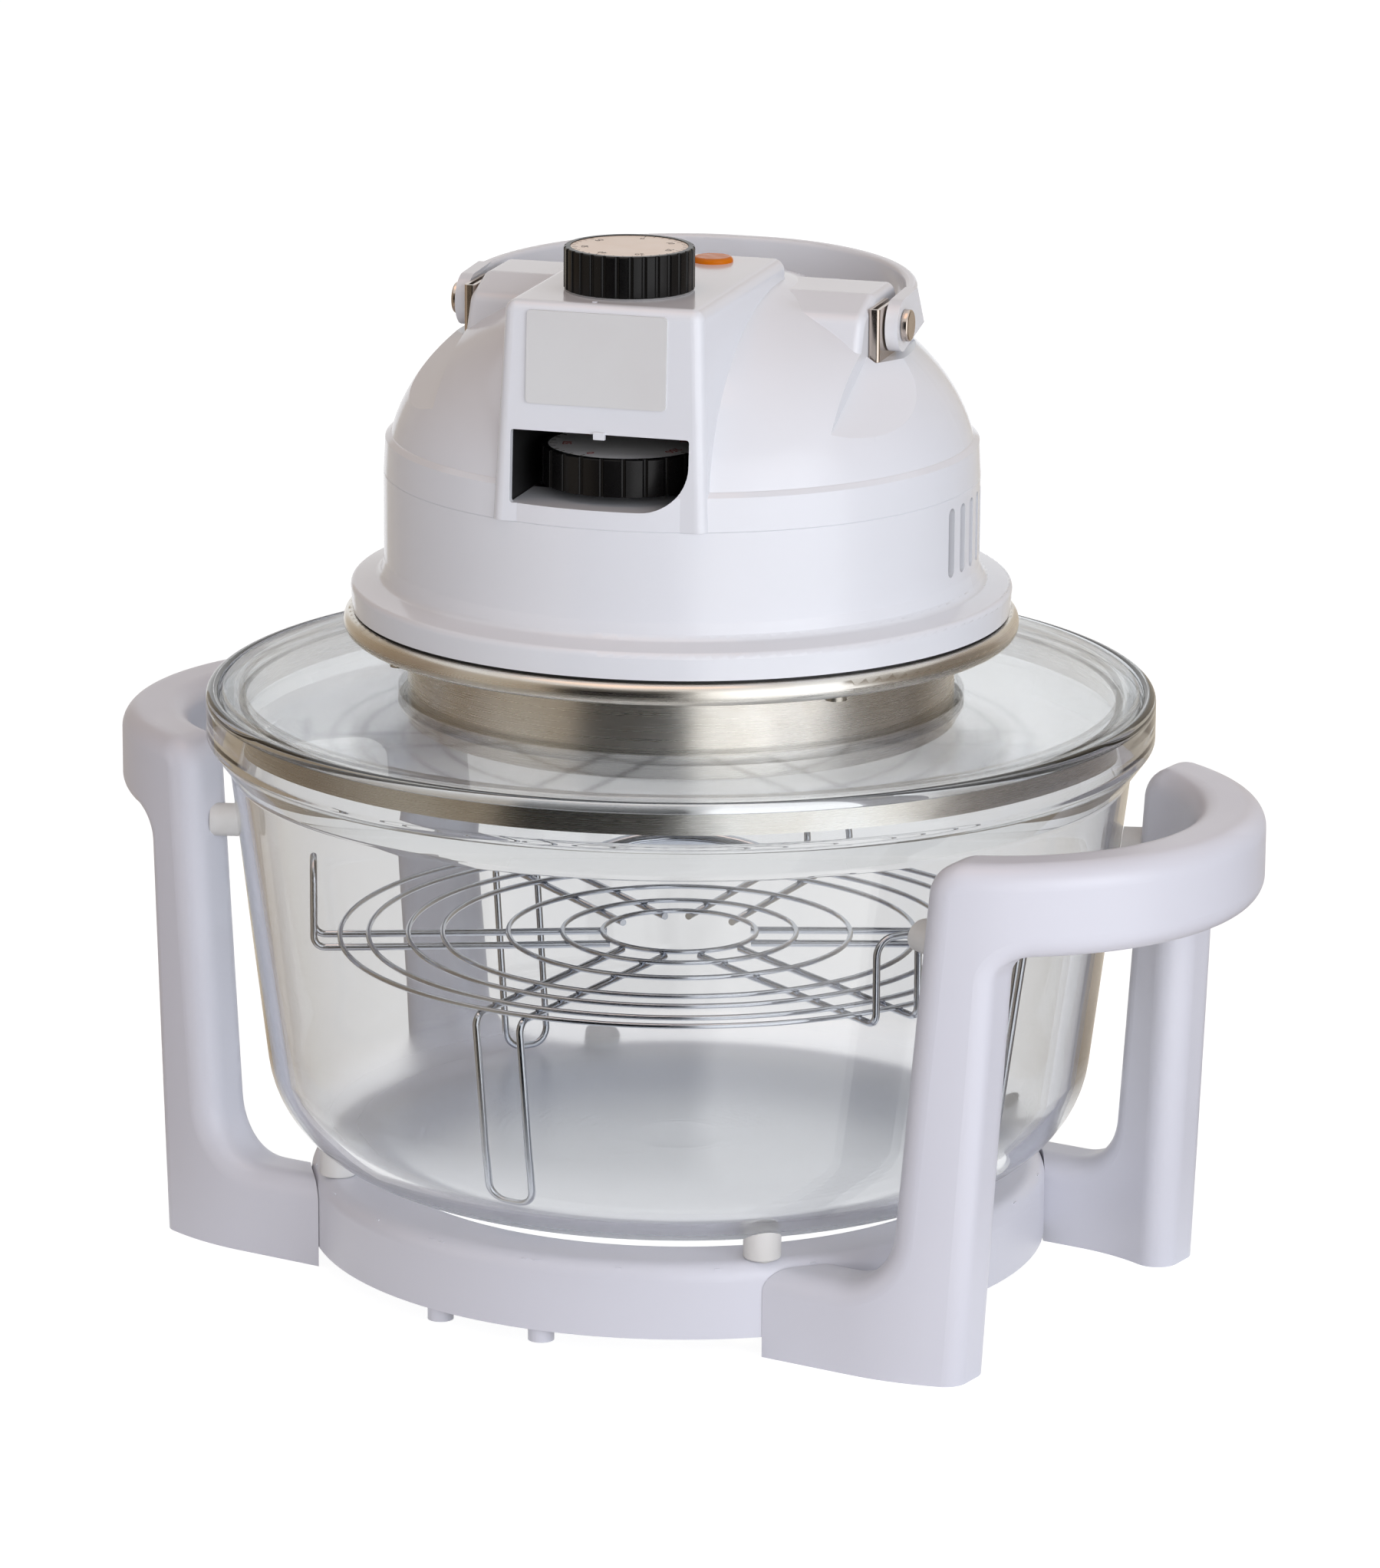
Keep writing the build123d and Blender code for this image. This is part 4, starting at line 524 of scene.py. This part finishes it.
def numeral(form, matrix, words, tall, thick):  # plain numbers from the built-in letters
    curve = bpy.data.curves.new("numeral", "FONT")
    curve.body = words
    curve.size = tall
    curve.align_x = "CENTER"
    curve.align_y = "CENTER"
    curve.extrude = thick / 2
    curve.resolution_u = letterSteps
    letters = bpy.data.objects.new("numeral", curve)
    scene.collection.objects.link(letters)
    bpy.context.view_layer.update()
    solid = letters.evaluated_get(bpy.context.evaluated_depsgraph_get())
    mesh = bpy.data.meshes.new_from_object(solid)
    mesh.transform(matrix @ Matrix.Translation((0, 0, thick / 2)))
    form.from_mesh(mesh)
    bpy.data.objects.remove(letters)
    bpy.data.meshes.remove(mesh)


timerScale = {
    "plate": "timer_knob_disc", "body": "timer_control", "slot": "black_plastic",
    "from": 0, "to": 60, "step": 2, "numberEvery": 10,  # minutes
    "sweep": 300, "start": 90,  # degrees
    "tickLong": 1.9, "tickShort": 1.2, "tickWide": 0.3, "edgeGap": 0.5,  # millimetres
    "letters": 3.4, "lettersIn": 4.4, "thick": 0.04,
}
dialScale = {
    "plate": "dial_scale_disc", "body": "thermostat_control", "slot": "black_plastic",
    "from": 0, "to": 250, "step": 10, "numberEvery": 50,  # degrees Celsius
    "sweep": 270, "start": 250,  # degrees
    "tickLong": 2.6, "tickShort": 1.6, "tickWide": 0.45, "edgeGap": 0.6,  # millimetres
    "letters": 4.6, "lettersIn": 6.0, "thick": 0.04,
}


def buildScale(name, look, ticksIn, numbersIn):
    low, high = (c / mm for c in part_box(look["plate"]))
    radius = (high[0] - low[0]) / 2 - look["edgeGap"]
    middle = [(low[n] + high[n]) / 2 * mm for n in (0, 1)]
    centre = Vector((*middle, high[2] * mm))
    ticks, numbers = bmesh.new(), bmesh.new()
    for value in range(look["from"], look["to"] + 1, look["step"]):
        share = (value - look["from"]) / (look["to"] - look["from"])
        angle = math.radians(look["start"] - share * look["sweep"] - 90)
        place = Matrix.Translation(centre) @ Matrix.Rotation(headTurn + angle, 4, "Z")
        named = value % look["numberEvery"] == 0
        long = look["tickLong"] if named else look["tickShort"]
        foot = Matrix.Translation((0, (radius - long / 2) * mm, 0))
        bar(ticks, place @ foot, look["tickWide"] * mm, long * mm, look["thick"] * mm)
        if named:
            foot = Matrix.Translation((0, (radius - look["lettersIn"]) * mm, 0))
            numeral(numbers, place @ foot, str(value), look["letters"] * mm, look["thick"] * mm)
    for part, form, ink in (("ticks", ticks, ticksIn), ("numbers", numbers, numbersIn)):
        mesh = meshFrom(form, name + "_" + part)
        newPiece(name + "_" + part, mesh, ink, look["body"])


buildScale("timer_scale", timerScale, darkInk, darkInk)
buildScale("dial_scale", dialScale, darkInk, redInk)
print("scales printed")


# Console details: a black sheet painting the shade in the dial's well, the index over it and the
# index before the knob

wellShadeForm = {
    "halfWidth": 31.3, "axisY": -67.0, "frontY": -95.5, "low": 286.3, "roof": 311.6,
    "sheet": 0.8, "steps": 24,
}


# painted shade: the slot round the dial is white plastic, and this black sheet lines it so that it
# reads as dark shade
def buildWell(look):
    form = bmesh.new()
    plan = [(look["halfWidth"], look["frontY"])]
    for n in range(look["steps"] + 1):
        a = math.pi * n / look["steps"]
        across, inward = look["halfWidth"] * math.cos(a), look["halfWidth"] * math.sin(a)
        plan.append((across, look["axisY"] + inward))
    plan.append((-look["halfWidth"], look["frontY"]))
    feet = [form.verts.new(inHead(x, y, look["low"])) for x, y in plan]
    tops = [form.verts.new(inHead(x, y, look["roof"])) for x, y in plan]
    for n in range(len(plan) - 1):
        form.faces.new((feet[n], feet[n + 1], tops[n + 1], tops[n]))
    form.faces.new(tops)
    bmesh.ops.recalc_face_normals(form, faces=form.faces)
    mesh = meshFrom(form, "dial_well_painted_shade")
    piece = newPiece("dial_well_painted_shade", mesh, paintedShadeBlack, "lid")
    sheet = piece.modifiers.new("sheet", "SOLIDIFY")
    sheet.thickness = look["sheet"] * mm
    sheet.offset = 1.0


buildWell(wellShadeForm)

indexForm = {
    "slotAt": (0.0, -97.6, 309.3), "slotWide": 4.0, "slotDeep": 1.6, "slotTall": 2.6,
    "knobAt": (-4.0, -90.2, 354.1), "knobWide": 1.6, "knobDeep": 1.3, "knobTall": 0.35,
    "edge": 0.25, "edgeSteps": 3,
}


def buildIndex(look):
    form = bmesh.new()
    turn = Matrix.Rotation(headTurn, 4, "Z")
    for part in ("slot", "knob"):
        foot = Matrix.Translation(inHead(*look[part + "At"])) @ turn
        bar(form, foot, *(look[part + side] * mm for side in ("Wide", "Deep", "Tall")))
    mesh = meshFrom(form, "scale_indexes")
    piece = newPiece("scale_indexes", mesh, headAbs, "lid")
    soften = piece.modifiers.new("edges", "BEVEL")
    soften.width = look["edge"] * mm
    soften.segments = look["edgeSteps"]


buildIndex(indexForm)
print("console details made")


# Painted shade: black sheets inside the drum, behind its vents, make the vents look dark

ventShadeForm = {
    "radius": 97.0, "sheet": 0.8, "low": 240.0, "high": 271.0,
    "halfAngle": 26.0,  # degrees each way
    "steps": 20,
}


# painted shade: the drum's inside is white, so these black sheets paint the dark that is seen
# through the vents
def buildBaffles(look):
    form = bmesh.new()
    for side in (0, 180):
        rows = []
        for n in range(look["steps"] + 1):
            a = math.radians(side + look["halfAngle"] * (2 * n / look["steps"] - 1))
            x, y = look["radius"] * math.cos(a), look["radius"] * math.sin(a)
            rows.append([form.verts.new(inHead(x, y, z)) for z in (look["low"], look["high"])])
        for (low1, high1), (low2, high2) in zip(rows, rows[1:]):
            form.faces.new((low1, low2, high2, high1))
    mesh = meshFrom(form, "vent_painted_shade")
    piece = newPiece("vent_painted_shade", mesh, paintedShadeBlack, "lid")
    sheet = piece.modifiers.new("sheet", "SOLIDIFY")
    sheet.thickness = look["sheet"] * mm


buildBaffles(ventShadeForm)
# prints once the painted vent shade is made
print("baffles made")


# Studio: floor, white surround, lamps, and a card for the reflections

studio = {
    "floorSize": 16.0, "floorColour": "#E8E8EA", "floorGlow": 0.93, "floorShade": "#8A8A8A",
    "surround": 0.34, "surroundColour": "#F2F2F6",
}


def whiteWhenSeen(tree, lit, seen):  # seen directly, mirrored or through glass, it is white
    path = add(tree, "LightPath")
    larger = {"operation": "MAXIMUM"}
    rays = {0: path.outputs["Is Camera Ray"], 1: path.outputs["Is Glossy Ray"]}
    direct = add(tree, "Math", larger, rays)
    rays = {0: direct.outputs[0], 1: path.outputs["Is Transmission Ray"]}
    anyWay = add(tree, "Math", larger, rays)
    sides = {0: anyWay.outputs[0], 1: lit.outputs[0], 2: seen.outputs[0]}
    return add(tree, "MixShader", links=sides)


def buildFloor():
    material, tree = newMaterial("pale_paper_sweep")
    lit = add(tree, "BsdfDiffuse", {"Color": linear(studio["floorColour"])})
    shade = add(tree, "BsdfDiffuse", {"Color": linear(studio["floorShade"])})
    glow = add(tree, "Emission", {"Strength": studio["floorGlow"]})
    seen = add(tree, "AddShader", links={0: shade.outputs[0], 1: glow.outputs[0]})
    show(tree, whiteWhenSeen(tree, lit, seen))
    half = studio["floorSize"] / 2
    corners = [(-half, -half, 0), (half, -half, 0), (half, half, 0), (-half, half, 0)]
    mesh = bpy.data.meshes.new("floor")
    mesh.from_pydata(corners, [], [(0, 1, 2, 3)])
    floor = bpy.data.objects.new("floor", mesh)
    mesh.materials.append(material)
    scene.collection.objects.link(floor)


def buildSurround():
    world = bpy.data.worlds.new("white_studio")
    world.use_nodes = True
    tree = world.node_tree
    tree.nodes.clear()
    tone = linear(studio["surroundColour"])
    lit = add(tree, "Background", {"Color": tone, "Strength": studio["surround"]})
    seen = add(tree, "Background", {"Color": (1, 1, 1, 1), "Strength": 1.0})
    add(tree, "OutputWorld", links={"Surface": whiteWhenSeen(tree, lit, seen).outputs[0]})
    scene.world = world


def aimedAt(place, target):
    return (Vector(target) - Vector(place)).to_track_quat("-Z", "Y").to_matrix().to_4x4()


def around(azimuth, elevation, distance, target):  # a place by its angles from the object's front
    a, e = math.radians(azimuth), math.radians(elevation)
    back = Vector((math.sin(a) * math.cos(e), -math.cos(a) * math.cos(e), math.sin(e)))
    return Vector(target) + back * distance


lampSize = 1.6  # metres
lampTarget = (0, 0, 0.2)
lamps = [  # "from" is azimuth and elevation in degrees, and distance in metres
    {"name": "keySoftbox", "from": (74, 16, 2.6), "watts": 31, "colour": "#F0F5FF"},
    {"name": "frontFill", "from": (36, 9, 3.0), "watts": 31, "colour": "#FAFAFF",
     "mirrored": False},  # lights the front without a streak on the steel
    {"name": "warmTop", "from": (-40, 82, 2.4), "watts": 8, "colour": "#FFC090"},
    {"name": "leftFill", "from": (-48, 12, 2.8), "watts": 8, "colour": "#F2F3FA"},
    {"name": "backFill", "from": (172, 22, 2.8), "watts": 15, "colour": "#EEF3FF"},
]


def buildLamps():
    for lamp in lamps:
        light = bpy.data.lights.new(lamp["name"], "AREA")
        light.energy = lamp["watts"]
        light.size = lampSize
        light.color = linear(lamp["colour"])[:3]
        place = around(*lamp["from"], lampTarget)
        lampObject = bpy.data.objects.new(lamp["name"], light)
        lampObject.matrix_world = Matrix.Translation(place) @ aimedAt(place, lampTarget)
        lampObject.visible_glossy = lamp.get("mirrored", True)
        scene.collection.objects.link(lampObject)


# a curved card round all but the back left, as round a product shot of steel and glass; only
# reflections see it, and it fades in from the stand's foot outwards
card = {
    "from": -124, "to": 195,  # degrees round from the front
    "steps": 96,
    "near": 0.17, "fade": 0.10, "far": 1.1, "bend": 0.25, "height": 1.3, "lift": 0.004,  # metres
    "cloudMm": 160, "cloudDrift": 0.10, "glow": 2.0,  # bands wander by the drift, in radians
    "bands": [  # degrees round from the front, colour
        (-124, "#9A9286"), (-100, "#827565"), (-60, "#6C5E4F"), (-35, "#8F8679"),
        (-14, "#887D6F"), (-6, "#0A0A09"), (32, "#060606"), (40, "#F2F2F2"),
        (84, "#F2F2F2"), (102, "#746D65"), (145, "#5C5349"), (195, "#A89F94"),
    ],
}


def buildCard():
    material, tree = newMaterial("studio_card")
    place = add(tree, "TexCoord").outputs["Object"]
    split = add(tree, "SeparateXYZ", links={"Vector": place})
    back = add(tree, "Math", {"operation": "MULTIPLY", 1: -1.0}, {0: split.outputs["Y"]})
    sides = {0: split.outputs["X"], 1: back.outputs["Value"]}
    turn = add(tree, "Math", {"operation": "ARCTAN2"}, sides)
    cloud = blotches(tree, card["cloudMm"], -card["cloudDrift"], card["cloudDrift"], detail=3.0)
    drift = add(tree, "Math", {"operation": "ADD"}, {0: turn.outputs["Value"], 1: cloud})
    limits = {"From Min": math.radians(card["from"]), "From Max": math.radians(card["to"])}
    along = add(tree, "MapRange", limits, {"Value": drift.outputs["Value"]})
    ramp = add(tree, "ValToRGB", links={"Fac": along.outputs["Result"]})
    stops = ramp.color_ramp.elements
    ready = len(stops)  # a new ramp comes with two
    for n, (angle, colour) in enumerate(card["bands"]):
        where = (angle - card["from"]) / (card["to"] - card["from"])
        stop = stops[n] if n < ready else stops.new(where)
        stop.position = where
        stop.color = linear(colour)
    glow = add(tree, "Emission", {"Strength": card["glow"]}, {"Color": ramp.outputs["Color"]})
    depth = add(tree, "LightPath").outputs["Glossy Depth"]
    mirrored = add(tree, "Math", {"operation": "GREATER_THAN", 1: 0.5}, {0: depth})  # once or more
    reach = add(tree, "VectorMath", {"operation": "LENGTH"}, {0: place})
    inner = {"From Min": card["near"], "From Max": card["near"] + card["fade"]}
    soft = add(tree, "MapRange", inner, {"Value": reach.outputs["Value"]})
    factors = {0: mirrored.outputs["Value"], 1: soft.outputs["Result"]}
    share = add(tree, "Math", {"operation": "MULTIPLY"}, factors).outputs["Value"]
    hole = add(tree, "BsdfTransparent")
    show(tree, add(tree, "MixShader", links={0: share, 1: hole.outputs[0], 2: glow.outputs[0]}))
    edge, steps = card["far"] + card["bend"], card["steps"]
    profile = [(card["near"], card["lift"]), (card["far"], card["lift"])]
    profile += [(edge, card["bend"]), (edge, card["height"])]
    points, faces = [], []
    for n in range(steps + 1):
        a = math.radians(card["from"] + (card["to"] - card["from"]) * n / steps)
        points += [(r * math.sin(a), -r * math.cos(a), z) for r, z in profile]
    wide = len(profile)
    for n in range(steps):
        for k in range(wide - 1):
            first, second = n * wide + k, (n + 1) * wide + k
            faces.append((first, first + 1, second + 1, second))
    mesh = bpy.data.meshes.new("studio_card")
    mesh.from_pydata(points, [], faces)
    mesh.materials.append(material)
    cardObject = bpy.data.objects.new("studio_card", mesh)
    for rays in ("camera", "diffuse", "volume_scatter", "shadow"):
        setattr(cardObject, "visible_" + rays, False)
    scene.collection.objects.link(cardObject)


buildFloor()
buildSurround()
buildLamps()
buildCard()
print("studio: floor,", len(lamps), "lamps and a card")


# Camera

shot = {
    "azimuth": 31.37, "elevation": 14.60, "roll": 0.37,  # degrees
    "distance": 2.592, "aimHeight": 0.1671, "aimRight": 0.00335,  # metres
    "focalPixels": 9684, "framePixels": (1799, 2044), "sensor": 36.0,
}


def buildCamera():
    turn = math.radians(shot["azimuth"])
    right = Vector((math.cos(turn), math.sin(turn), 0))
    target = Vector((0, 0, shot["aimHeight"])) + right * shot["aimRight"]
    place = around(shot["azimuth"], shot["elevation"], shot["distance"], target)
    data = bpy.data.cameras.new("camera")
    data.sensor_width = shot["sensor"]
    data.lens = shot["sensor"] * shot["focalPixels"] / max(shot["framePixels"])
    camera = bpy.data.objects.new("camera", data)
    roll = Matrix.Rotation(math.radians(shot["roll"]), 4, "Z")
    camera.matrix_world = Matrix.Translation(place) @ aimedAt(place, target) @ roll
    scene.collection.objects.link(camera)
    scene.camera = camera


buildCamera()
scene.view_settings.view_transform = "Standard"
print("camera set")
